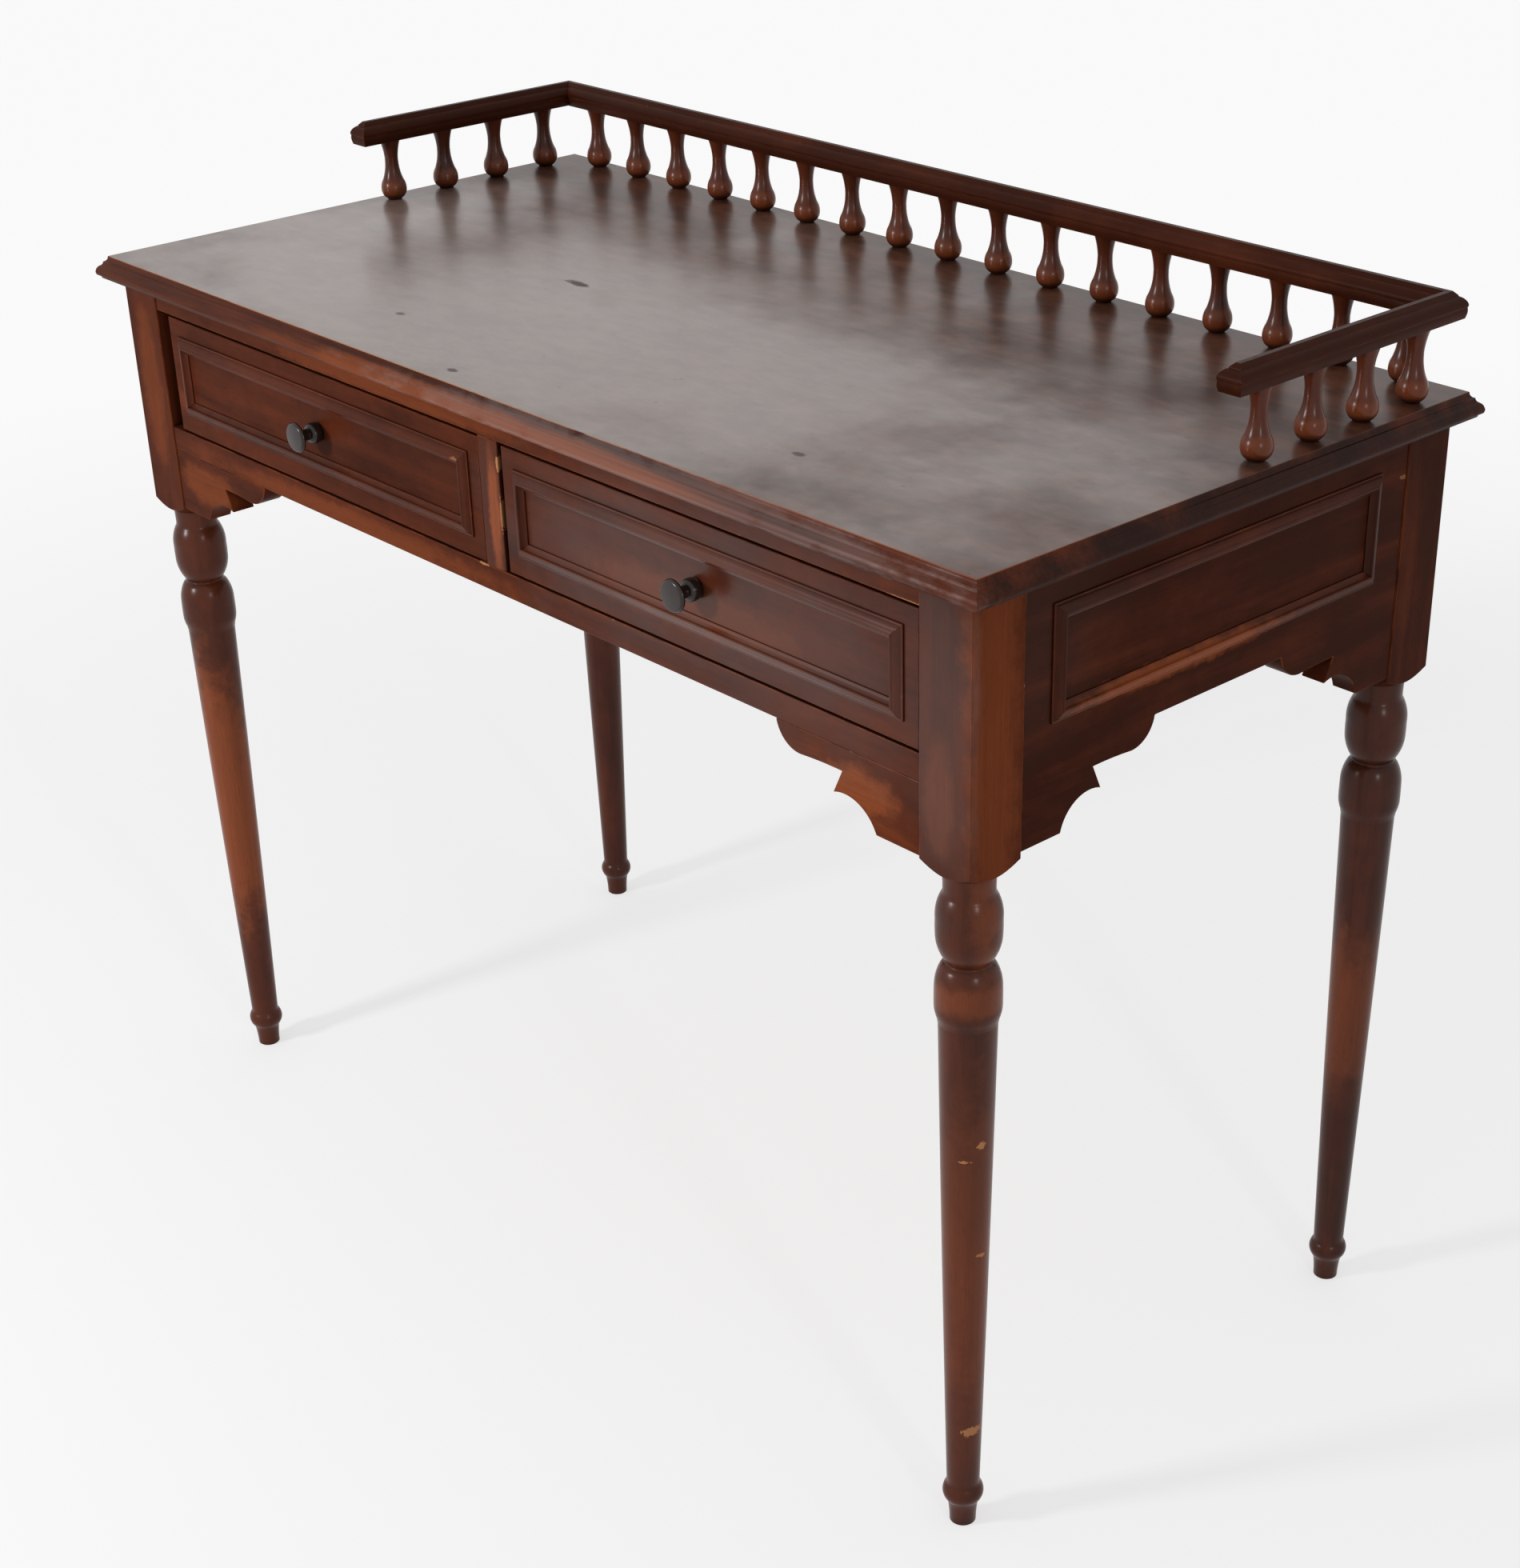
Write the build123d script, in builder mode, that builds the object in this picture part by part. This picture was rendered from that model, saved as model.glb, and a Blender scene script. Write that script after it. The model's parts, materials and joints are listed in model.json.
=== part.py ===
"""Two-drawer sewing desk on turned legs, with a spindle gallery round three sides of its top.

Frame: +Z up, the drawers face -Y, +X is to the right of someone sitting at the desk, and the origin is
on the floor under the middle of the desk's bounding box. All sizes are in millimetres.
"""

from build123d import *

import os
from itertools import pairwise
from math import atan2, cos, degrees, pi

os.makedirs("parts", exist_ok=True)

# Overall sizes
TOP_LENGTH = 1007.2
TOP_DEPTH = 499.6
TOP_HEIGHT = 750
TOP_THICKNESS = 18
SIDE_OVERHANG = 17.6
FRONT_OVERHANG = 15.1
BACK_OVERHANG = 13.5

# Legs
POST_SIZE = 46
POST_ARRIS = 0.8
SHOULDER_HEIGHT = 535.5
SHOULDER_RISE = 10.1
NECK_RADIUS = 17.3
FOOT_RADIUS = 9.6

# Carcass
RAIL_RECESS = 1.0
FRONT_RAIL_BOTTOM = 597.5
APRON_BOTTOM = 602.8
LOWER_RAIL_TOP = 617
TOP_RAIL_BOTTOM = 715
APRON_THICKNESS = 20
BACK_THICKNESS = 18
BRACKET_THICKNESS = 20
BRACKET_LENGTH = 125
FRONT_BRACKET_STRETCH = 1.07
FRONT_BRACKET_DROP = 52
SIDE_BRACKET_DROP = 54.5
DIVIDER_WIDTH = 22.75
DIVIDER_OFFSET = 5.6
SIDE_TENON_LENGTH = 25
RAIL_TENON_LENGTH = 22
TENON_THICKNESS = 10
TENON_SHOULDER = 12
TENON_HAUNCH = 10
TWIN_TENON_THICKNESS = 8
TWIN_TENON_OFFSETS = (9, 27)
TWIN_TENON_SHOULDER = 2
RAIL_DOVETAIL_LENGTH = 18
RAIL_DOVETAIL_DEPTH = 11
RAIL_DOVETAIL_HALVES = (12, 15)
DIVIDER_TENON_LENGTH = 8
DIVIDER_TENON_SETBACK = 10

# Drawers
DRAWER_WIDTH = 418
DRAWER_DEPTH = 430
DRAWER_BOTTOM = 618.5
DRAWER_TOP = 713
DRAWER_ARRIS = 0.6
DRAWER_RECESS = 1.5
FRONT_THICKNESS = 20
SIDE_THICKNESS = 10
LINING_THICKNESS = 9
PANEL_THICKNESS = 6
PANEL_HEIGHT = 623.5
GROOVE_DEPTH = 5
SIDE_TOP = 708
RUNNING_GAP = 0.3
GUIDE_GAP = 0.5
LAP = 6
KNOB_HEIGHT = 666.5
KNOB_LENGTH = 23
SPIGOT_RADIUS = 5
KNOB_SIDES = 14

# Applied mouldings
STRIP_WIDTH = 12.5
STRIP_HEIGHT = 5
DRAWER_FRAME_SIZE = (392, 65)
DRAWER_FRAME_HEIGHT = 666.5
APRON_FRAME_SIZE = (326, 80.5)
APRON_FRAME_CENTRE = (2, 669.3)

# Gallery
GALLERY_TOP = 819.5
RAIL_HALF_WIDTH = 10.2
RAIL_HEIGHT = 19
GALLERY_SIDE_INSET = 24.1
GALLERY_BACK_INSET = 22
GALLERY_FRONT_Y = 1.5
BACK_SPINDLES = 17
BACK_SPINDLE_STEP = 55.6
BACK_SPINDLE_MIDDLE_X = 4
SIDE_SPINDLES = 4
SIDE_SPINDLE_STEP = 55
SIDE_SPINDLE_START = 34
SPINDLE_SIDES = 10

# Places that follow from the sizes above
KNOB_REACH = KNOB_LENGTH - FRONT_OVERHANG - DRAWER_RECESS
MIDDLE_Y = KNOB_REACH / 2
TOP_FRONT_Y = MIDDLE_Y - TOP_DEPTH / 2
TOP_BACK_Y = MIDDLE_Y + TOP_DEPTH / 2
TOP_UNDERSIDE = TOP_HEIGHT - TOP_THICKNESS
POST_OUTER_X = TOP_LENGTH / 2 - SIDE_OVERHANG
POST_INNER_X = POST_OUTER_X - POST_SIZE
POST_FRONT_Y = TOP_FRONT_Y + FRONT_OVERHANG
POST_BACK_Y = TOP_BACK_Y - BACK_OVERHANG
BAY_FRONT_Y = POST_FRONT_Y + POST_SIZE
BAY_BACK_Y = POST_BACK_Y - POST_SIZE
BAY_MIDDLE_Y = (BAY_FRONT_Y + BAY_BACK_Y) / 2
LEG_X = POST_OUTER_X - POST_SIZE / 2
LEG_FRONT_Y = POST_FRONT_Y + POST_SIZE / 2
LEG_BACK_Y = POST_BACK_Y - POST_SIZE / 2
RAIL_FACE_Y = POST_FRONT_Y + RAIL_RECESS
APRON_OUTER_X = POST_OUTER_X - RAIL_RECESS
APRON_INNER_X = APRON_OUTER_X - APRON_THICKNESS
BACK_OUTER_Y = POST_BACK_Y - RAIL_RECESS
BACK_INNER_Y = BACK_OUTER_Y - BACK_THICKNESS
DIVIDER_LEFT_X = DIVIDER_OFFSET - DIVIDER_WIDTH / 2
DIVIDER_RIGHT_X = DIVIDER_OFFSET + DIVIDER_WIDTH / 2
DRAWER_FACE_Y = POST_FRONT_Y + DRAWER_RECESS
DRAWER_BACK_Y = DRAWER_FACE_Y + DRAWER_DEPTH
DRAWER_LEFT_X = {
    "drawer_left": DIVIDER_LEFT_X - 0.75 - DRAWER_WIDTH,
    "drawer_right": POST_INNER_X - 1 - DRAWER_WIDTH,
}
GALLERY_X = TOP_LENGTH / 2 - GALLERY_SIDE_INSET
GALLERY_BACK_Y = TOP_BACK_Y - GALLERY_BACK_INSET
GALLERY_UNDERSIDE = GALLERY_TOP - RAIL_HEIGHT


def save(builder, name):
    """Label a finished piece and write it as its own file."""
    builder.part.label = name
    export_step(builder.part, f"parts/{name}.step")


def block(x_limits, y_limits, z_limits, mode=Mode.ADD):
    """Add or cut a box between limits on each axis, given in either order."""
    limits = (x_limits, y_limits, z_limits)
    centre = tuple((a + b) / 2 for a, b in limits)
    with Locations(centre):
        Box(*(abs(b - a) for a, b in limits), mode=mode)


# ---------------------------------------------------------------- joinery cut in one piece, left on another


def apron_tenon(side, end, mode=Mode.ADD):
    """Tenon of a side apron, in the front post (end -1) or the back post (end 1)."""
    shoulder_y = BAY_BACK_Y if end > 0 else BAY_FRONT_Y
    middle_x = side * (APRON_INNER_X + APRON_THICKNESS / 2)
    block(
        (middle_x - TENON_THICKNESS / 2, middle_x + TENON_THICKNESS / 2),
        (shoulder_y, shoulder_y + end * SIDE_TENON_LENGTH),
        (APRON_BOTTOM + TENON_SHOULDER, TOP_UNDERSIDE - TENON_HAUNCH),
        mode,
    )


def back_tenon(side, mode=Mode.ADD):
    """Tenon of the back board in a back post."""
    middle_y = BACK_INNER_Y + BACK_THICKNESS / 2
    block(
        (side * POST_INNER_X, side * (POST_INNER_X + RAIL_TENON_LENGTH)),
        (middle_y - TENON_THICKNESS / 2, middle_y + TENON_THICKNESS / 2),
        (APRON_BOTTOM + TENON_SHOULDER, TOP_UNDERSIDE - TENON_HAUNCH),
        mode,
    )


def twin_tenons(side, mode=Mode.ADD):
    """The two tenons at one end of the front lower rail."""
    for offset in TWIN_TENON_OFFSETS:
        front_y = RAIL_FACE_Y + offset
        block(
            (side * POST_INNER_X, side * (POST_INNER_X + RAIL_TENON_LENGTH)),
            (front_y, front_y + TWIN_TENON_THICKNESS),
            (FRONT_RAIL_BOTTOM + TWIN_TENON_SHOULDER, LOWER_RAIL_TOP - TWIN_TENON_SHOULDER),
            mode,
        )


def rail_dovetail(side):
    """Plan of the dovetail that drops the front top rail into the top of a front post."""
    root_x, end_x = side * POST_INNER_X, side * (POST_INNER_X + RAIL_DOVETAIL_LENGTH)
    root_half, end_half = RAIL_DOVETAIL_HALVES
    with BuildSketch(Plane.XY.offset(TOP_UNDERSIDE)) as tail:
        with BuildLine():
            Polyline(
                (root_x, LEG_FRONT_Y - root_half),
                (end_x, LEG_FRONT_Y - end_half),
                (end_x, LEG_FRONT_Y + end_half),
                (root_x, LEG_FRONT_Y + root_half),
                close=True,
            )
        make_face()
    return tail.sketch


def divider_tenon(z_limits, mode=Mode.ADD):
    """Stub tenon of the drawer divider, in the top rail or in the lower rail."""
    block(
        (DIVIDER_OFFSET - TENON_THICKNESS / 2, DIVIDER_OFFSET + TENON_THICKNESS / 2),
        (RAIL_FACE_Y + DIVIDER_TENON_SETBACK, BAY_FRONT_Y - DIVIDER_TENON_SETBACK),
        z_limits,
        mode,
    )


DIVIDER_TENON_LIMITS = (
    (LOWER_RAIL_TOP - DIVIDER_TENON_LENGTH, LOWER_RAIL_TOP),
    (TOP_RAIL_BOTTOM, TOP_RAIL_BOTTOM + DIVIDER_TENON_LENGTH),
)


# ---------------------------------------------------------------- top board

def add_top_edge(nose):
    """Half of the top's section: from its middle over the upper arris and the nose to the underside.

    nose is the widest point in the plane's x, and y is height.
    """
    under, top = TOP_UNDERSIDE, TOP_HEIGHT
    Polyline((0, top), (nose - 8.4, top), (nose - 8.4, top - 1))
    ThreePointArc((nose - 8.4, top - 1), (nose - 7.6, top - 3.4), (nose - 5.6, top - 4.3))
    Line((nose - 5.6, top - 4.3), (nose - 4.9, top - 4.5))
    ThreePointArc((nose - 4.9, top - 4.5), (nose - 3.9, top - 7.6), (nose - 1.6, top - 9.9))
    ThreePointArc((nose - 1.6, top - 9.9), (nose, top - 13), (nose - 1.2, top - 15.9))
    Polyline((nose - 1.2, top - 15.9), (nose - 3.2, top - 16.3), (nose - 3.6, under), (0, under))


with BuildPart() as top_board:
    with BuildSketch(Plane.YZ.shift_origin((0, MIDDLE_Y, 0))):
        with BuildLine():
            add_top_edge(TOP_DEPTH / 2)
            mirror(about=Plane.YZ)
        make_face()
    extrude(amount=TOP_LENGTH / 2, both=True)
    with BuildSketch(Plane.XZ):
        with BuildLine():
            add_top_edge(TOP_LENGTH / 2)
            mirror(about=Plane.YZ)
        make_face()
    extrude(amount=TOP_DEPTH, both=True, mode=Mode.INTERSECT)
save(top_board, "top_board")


# ---------------------------------------------------------------- legs

def add_bands(*points):
    """Straight stretches of a turned profile, as two-point curves, which give few facets when revolved."""
    for start, finish in pairwise(points):
        Bezier(start, finish)


def make_leg(side, end):
    """A leg: side -1 is left and 1 is right, end -1 is front and 1 is back."""
    x, y = side * LEG_X, LEG_BACK_Y if end > 0 else LEG_FRONT_Y
    axis = Axis((x, y, 0), (0, 0, 1))
    section = Plane(origin=(x, y, 0), x_dir=(1, 0, 0), z_dir=(0, -1, 0))
    past_corner = POST_SIZE / 2 * 2**0.5 + 1
    with BuildPart() as leg:
        with BuildSketch(Plane.XY.offset(SHOULDER_HEIGHT)):
            with Locations((x, y)):
                Rectangle(POST_SIZE, POST_SIZE)
        extrude(amount=TOP_UNDERSIDE - SHOULDER_HEIGHT)
        chamfer(leg.edges().filter_by(Axis.Z), length=POST_ARRIS)
        # The lathe cuts the square off in a cone, which leaves a curved edge on each flat face.
        with BuildSketch(section):
            with BuildLine():
                Polyline(
                    (0, SHOULDER_HEIGHT),
                    (NECK_RADIUS, SHOULDER_HEIGHT),
                    (past_corner, SHOULDER_HEIGHT + SHOULDER_RISE),
                    (past_corner, TOP_UNDERSIDE),
                    (0, TOP_UNDERSIDE),
                    close=True,
                )
            make_face()
        revolve(axis=axis, mode=Mode.INTERSECT)
        # From the foot up: ankle bead, long taper, collar and cup, waist, bulb and neck.
        with BuildSketch(section):
            with BuildLine():
                Line((0, 0), (FOOT_RADIUS, 0))
                add_bands((FOOT_RADIUS, 0), (11, 18), (14.8, 24), (14.9, 30), (12, 37))
                add_bands((12, 37), (15.1, 166), (17.8, 296), (20.2, 426))
                add_bands((20.2, 426), (22.9, 439), (22.5, 455), (20.4, 463), (15.8, 470))
                add_bands((15.8, 470), (18.9, 478), (21.4, 488), (22.1, 499), (20.4, 512), (16.9, 523))
                add_bands((16.9, 523), (NECK_RADIUS, SHOULDER_HEIGHT))
                Polyline((NECK_RADIUS, SHOULDER_HEIGHT), (0, SHOULDER_HEIGHT), (0, 0))
            make_face()
        revolve(axis=axis)
        apron_tenon(side, end, Mode.SUBTRACT)
        if end > 0:
            back_tenon(side, Mode.SUBTRACT)
        else:
            twin_tenons(side, Mode.SUBTRACT)
            extrude(rail_dovetail(side), amount=-RAIL_DOVETAIL_DEPTH, mode=Mode.SUBTRACT)
    return leg


for side, side_name in ((-1, "left"), (1, "right")):
    for end, end_name in ((-1, "front"), (1, "back")):
        save(make_leg(side, end), f"leg_{end_name}_{side_name}")


# ---------------------------------------------------------------- rails, divider and back board

with BuildPart() as front_top_rail:
    block((-POST_INNER_X, POST_INNER_X), (RAIL_FACE_Y, BAY_FRONT_Y), (TOP_RAIL_BOTTOM, TOP_UNDERSIDE))
    for side in (-1, 1):
        extrude(rail_dovetail(side), amount=-RAIL_DOVETAIL_DEPTH)
    divider_tenon(DIVIDER_TENON_LIMITS[1], Mode.SUBTRACT)
save(front_top_rail, "front_top_rail")

with BuildPart() as front_lower_rail:
    block((-POST_INNER_X, POST_INNER_X), (RAIL_FACE_Y, BAY_FRONT_Y), (FRONT_RAIL_BOTTOM, LOWER_RAIL_TOP))
    for side in (-1, 1):
        twin_tenons(side)
    divider_tenon(DIVIDER_TENON_LIMITS[0], Mode.SUBTRACT)
save(front_lower_rail, "front_lower_rail")

with BuildPart() as drawer_divider:
    block((DIVIDER_LEFT_X, DIVIDER_RIGHT_X), (RAIL_FACE_Y, BAY_FRONT_Y), (LOWER_RAIL_TOP, TOP_RAIL_BOTTOM))
    for limits in DIVIDER_TENON_LIMITS:
        divider_tenon(limits)
save(drawer_divider, "drawer_divider")

with BuildPart() as back_board:
    block((-POST_INNER_X, POST_INNER_X), (BACK_INNER_Y, BACK_OUTER_Y), (APRON_BOTTOM, TOP_UNDERSIDE))
    for side in (-1, 1):
        back_tenon(side)
save(back_board, "back_board")


# ---------------------------------------------------------------- shaped brackets and side aprons

def add_bracket_edge(post, top, end_drop, stretch=1):
    """The sawn edge of a bracket, from its flat end beside the post to the straight edge above.

    post is the post's face in the plane's x, top is the height of the straight edge, end_drop is how far
    the flat end lies below it, and stretch draws the bracket out along the rail.
    """
    def at(distance, drop):
        return (post - distance * stretch, top - drop)

    Line(at(0, end_drop), at(37, end_drop))
    ThreePointArc(at(37, end_drop), at(46, 39.5), at(74.5, 35))
    Line(at(74.5, 35), at(66.5, 17.2))
    ThreePointArc(at(66.5, 17.2), at(86, 17.4), at(103, 18.6))
    ThreePointArc(at(103, 18.6), at(118, 13), at(BRACKET_LENGTH, 0))


def make_front_bracket(side):
    """A bracket glued under the front lower rail, against the post."""
    face = Plane(origin=(0, RAIL_FACE_Y, 0), x_dir=(side, 0, 0), z_dir=(0, -side, 0))
    with BuildPart() as bracket:
        with BuildSketch(face):
            with BuildLine():
                add_bracket_edge(POST_INNER_X, FRONT_RAIL_BOTTOM, FRONT_BRACKET_DROP, FRONT_BRACKET_STRETCH)
                Polyline(
                    (POST_INNER_X - BRACKET_LENGTH * FRONT_BRACKET_STRETCH, FRONT_RAIL_BOTTOM),
                    (POST_INNER_X, FRONT_RAIL_BOTTOM),
                    (POST_INNER_X, FRONT_RAIL_BOTTOM - FRONT_BRACKET_DROP),
                )
            make_face()
        extrude(amount=-side * BRACKET_THICKNESS)
    return bracket


def make_side_apron(side):
    """A side apron, sawn with a bracket at each end and tenoned into both posts."""
    half = (BAY_BACK_Y - BAY_FRONT_Y) / 2
    inner_face = Plane(origin=(side * APRON_INNER_X, BAY_MIDDLE_Y, 0), x_dir=(0, side, 0), z_dir=(side, 0, 0))
    with BuildPart() as apron:
        with BuildSketch(inner_face):
            with BuildLine():
                add_bracket_edge(half, APRON_BOTTOM, SIDE_BRACKET_DROP)
                Line((half - BRACKET_LENGTH, APRON_BOTTOM), (0, APRON_BOTTOM))
                Polyline((half, APRON_BOTTOM - SIDE_BRACKET_DROP), (half, TOP_UNDERSIDE), (0, TOP_UNDERSIDE))
                mirror(about=Plane.YZ)
            make_face()
        extrude(amount=APRON_THICKNESS)
        for end in (-1, 1):
            apron_tenon(side, end)
    return apron


for side, side_name in ((-1, "left"), (1, "right")):
    save(make_front_bracket(side), f"front_bracket_{side_name}")
    save(make_side_apron(side), f"side_apron_{side_name}")


# ---------------------------------------------------------------- applied mouldings

def strip_section(seat):
    """Section of a moulding strip on its seat: x runs inward from the outer edge, y out of the wood."""
    with BuildSketch(seat) as section:
        with BuildLine():
            Polyline((0, 0), (0, 1.3), (1.1, 1.3))
            ThreePointArc((1.1, 1.3), (3.1, 3.6), (6.4, 4.4))
            Polyline((6.4, 4.4), (7.2, STRIP_HEIGHT), (8.4, STRIP_HEIGHT), (8.8, 3.8))
            ThreePointArc((8.8, 3.8), (10.0, 1.9), (STRIP_WIDTH, 1.0))
            Polyline((STRIP_WIDTH, 1.0), (STRIP_WIDTH, 0), (0, 0))
        make_face()
    return section.sketch


def moulding_frame(face, size):
    """Four mitred strips round a rectangle on a face, as (name, piece) pairs.

    face has its origin at the frame's centre, its x along the frame, its y up and its z out of the wood.
    """
    half_x, half_y = size[0] / 2, size[1] / 2
    corner_signs = ((-1, -1), (1, -1), (1, 1), (-1, 1))
    outer = [(i * half_x, j * half_y) for i, j in corner_signs]
    inner = [(i * (half_x - STRIP_WIDTH), j * (half_y - STRIP_WIDTH)) for i, j in corner_signs]
    outward = (("bottom", -face.y_dir, half_y), ("right", face.x_dir, half_x),
               ("top", face.y_dir, half_y), ("left", -face.x_dir, half_x))
    for index, (name, direction, reach) in enumerate(outward):
        seat = Plane(face.origin + direction * reach, x_dir=-direction, z_dir=(-direction).cross(face.z_dir))
        following = (index + 1) % 4
        with BuildPart() as strip:
            extrude(strip_section(seat), amount=half_x + half_y, both=True)
            with BuildSketch(face):
                with BuildLine():
                    Polyline(outer[index], outer[following], inner[following], inner[index], close=True)
                make_face()
            extrude(amount=STRIP_HEIGHT, mode=Mode.INTERSECT)
        yield name, strip


for side, side_name in ((-1, "left"), (1, "right")):
    apron_face = Plane(
        origin=(side * APRON_OUTER_X, *APRON_FRAME_CENTRE), x_dir=(0, side, 0), z_dir=(side, 0, 0)
    )
    for strip_name, strip in moulding_frame(apron_face, APRON_FRAME_SIZE):
        end_names = {"left": "front" if side > 0 else "back", "right": "back" if side > 0 else "front"}
        save(strip, f"side_moulding_{side_name}_{end_names.get(strip_name, strip_name)}")


# ---------------------------------------------------------------- what carries the drawers

SIDE_SUPPORT_WIDTH = 60
CENTRE_SUPPORT_WIDTH = 75
SUPPORT_GAP = 0.5
GUIDE_HEIGHT = 12
STOP_WIDTH = 32
STOP_DEPTH = 14
STOP_HEIGHT = 5
STOP_INSET = 70
GLUE_BLOCK_PLACES = (-310, -130, 130, 310)
GLUE_BLOCK_LENGTH = 60
GLUE_BLOCK_SIZE = 22
GLUE_BLOCK_EDGE = 6
CENTRE_X = (DRAWER_LEFT_X["drawer_left"] + DRAWER_WIDTH + DRAWER_LEFT_X["drawer_right"]) / 2
CENTRE_GAP = DRAWER_LEFT_X["drawer_right"] - DRAWER_LEFT_X["drawer_left"] - DRAWER_WIDTH


def add_side_support(side, z_limits):
    """A strip along an apron from the front rail to the back board, notched round the back post."""
    inner_x = APRON_INNER_X - SIDE_SUPPORT_WIDTH
    block((side * inner_x, side * APRON_INNER_X), (BAY_FRONT_Y, BAY_BACK_Y), z_limits)
    block((side * inner_x, side * (POST_INNER_X - SUPPORT_GAP)), (BAY_BACK_Y, BACK_INNER_Y), z_limits)


def add_centre_support(z_limits):
    """A strip from the front rail to the back board, under or over the space between the drawers."""
    half = CENTRE_SUPPORT_WIDTH / 2
    block((CENTRE_X - half, CENTRE_X + half), (BAY_FRONT_Y, BACK_INNER_Y), z_limits)


RUNNER_LIMITS = (APRON_BOTTOM, LOWER_RAIL_TOP)
KICKER_LIMITS = (TOP_RAIL_BOTTOM, TOP_UNDERSIDE)
GUIDE_LIMITS = (LOWER_RAIL_TOP, LOWER_RAIL_TOP + GUIDE_HEIGHT)
STOP_LIMITS = (LOWER_RAIL_TOP, LOWER_RAIL_TOP + STOP_HEIGHT)

for side, side_name in ((-1, "left"), (1, "right")):
    with BuildPart() as runner:
        add_side_support(side, RUNNER_LIMITS)
    save(runner, f"drawer_runner_{side_name}")

    with BuildPart() as kicker:
        add_side_support(side, KICKER_LIMITS)
    save(kicker, f"drawer_kicker_{side_name}")

    drawer_side_x = DRAWER_LEFT_X[f"drawer_{side_name}"] + (DRAWER_WIDTH if side > 0 else 0)
    guide_x = (drawer_side_x + side * GUIDE_GAP, side * APRON_INNER_X)
    with BuildPart() as guide:
        block(guide_x, (BAY_FRONT_Y, BAY_BACK_Y), GUIDE_LIMITS)
    save(guide, f"drawer_guide_{side_name}")

with BuildPart() as drawer_runner_centre:
    add_centre_support(RUNNER_LIMITS)
save(drawer_runner_centre, "drawer_runner_centre")

with BuildPart() as drawer_kicker_centre:
    add_centre_support(KICKER_LIMITS)
save(drawer_kicker_centre, "drawer_kicker_centre")

with BuildPart() as drawer_guide_centre:
    half_gap = CENTRE_GAP / 2 - GUIDE_GAP
    block((CENTRE_X - half_gap, CENTRE_X + half_gap), (BAY_FRONT_Y, BACK_INNER_Y), GUIDE_LIMITS)
save(drawer_guide_centre, "drawer_guide_centre")

with BuildPart() as drawer_stops:
    stop_y = DRAWER_FACE_Y + FRONT_THICKNESS + RUNNING_GAP
    for left_x in DRAWER_LEFT_X.values():
        for x in (left_x + STOP_INSET, left_x + DRAWER_WIDTH - STOP_INSET - STOP_WIDTH):
            block((x, x + STOP_WIDTH), (stop_y, stop_y + STOP_DEPTH), STOP_LIMITS)
save(drawer_stops, "drawer_stops")

with BuildPart() as glue_blocks:
    for middle_x in GLUE_BLOCK_PLACES:
        with BuildSketch(Plane.YZ.offset(middle_x - GLUE_BLOCK_LENGTH / 2)):
            with BuildLine():
                Polyline(
                    (BACK_INNER_Y, TOP_UNDERSIDE),
                    (BACK_INNER_Y, TOP_UNDERSIDE - GLUE_BLOCK_SIZE),
                    (BACK_INNER_Y - GLUE_BLOCK_EDGE, TOP_UNDERSIDE - GLUE_BLOCK_SIZE),
                    (BACK_INNER_Y - GLUE_BLOCK_SIZE, TOP_UNDERSIDE - GLUE_BLOCK_EDGE),
                    (BACK_INNER_Y - GLUE_BLOCK_SIZE, TOP_UNDERSIDE),
                    close=True,
                )
            make_face()
        extrude(amount=GLUE_BLOCK_LENGTH)
save(glue_blocks, "glue_blocks")


# ---------------------------------------------------------------- small turnings

def add_small_turning(foot, profile, sides):
    """Build a turning with flat sides through (radius, height) stations above the plane foot.

    There are many of these small pieces, so a few flat sides keep their facets few. Each stretch is drawn
    in from its wide end.
    """
    to_flat = cos(pi / sides)
    for stations in pairwise(profile):
        (narrow_radius, narrow_height), (wide_radius, wide_height) = sorted(stations)
        length = abs(wide_height - narrow_height)
        slope = atan2((wide_radius - narrow_radius) * to_flat, length)
        with BuildSketch(Plane.XY) as outline:
            RegularPolygon(wide_radius, sides)
        stretch = extrude(outline.sketch, amount=length, taper=degrees(slope), mode=Mode.PRIVATE)
        wide_end = foot.offset(wide_height)
        with Locations((-wide_end if narrow_height < wide_height else wide_end).location):
            add(stretch)


# ---------------------------------------------------------------- drawers

SIDE_BOTTOM = LOWER_RAIL_TOP + RUNNING_GAP
LINING_BOTTOM = PANEL_HEIGHT + PANEL_THICKNESS
LINING_TOP = 704
FRONT_ROOT_Y = DRAWER_FACE_Y + FRONT_THICKNESS
FRONT_TAIL_END_Y = DRAWER_FACE_Y + LAP
BACK_ROOT_Y = DRAWER_BACK_Y - LINING_THICKNESS
TAIL_CENTRES = (634, 662.5, 691)
FRONT_TAIL_HALVES = (8.2, 10.8)
BACK_TAIL_HALVES = (8.2, 9.8)
SPIGOT_PROFILE = ((SPIGOT_RADIUS, -FRONT_THICKNESS), (SPIGOT_RADIUS, 0))
KNOB_PROFILE = (
    (6.6, 0), (6.7, 2.4), (8, 5.6), (7.6, 8.2), (4.8, 11.8), (5.2, 14),
    (9.2, 15.6), (11.9, 17.6), (11.5, 19.4), (6.5, 22), (1, KNOB_LENGTH),
)


def tail_sketch(x, root_y, end_y, halves, centres):
    """Dovetails seen from the drawer's side, from their root to their wider end."""
    root_half, end_half = halves
    with BuildSketch(Plane.YZ.offset(x)) as tails:
        for z in centres:
            with BuildLine():
                Polyline(
                    (root_y, z - root_half),
                    (end_y, z - end_half),
                    (end_y, z + end_half),
                    (root_y, z + root_half),
                    close=True,
                )
            make_face()
    return tails.sketch


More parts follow.
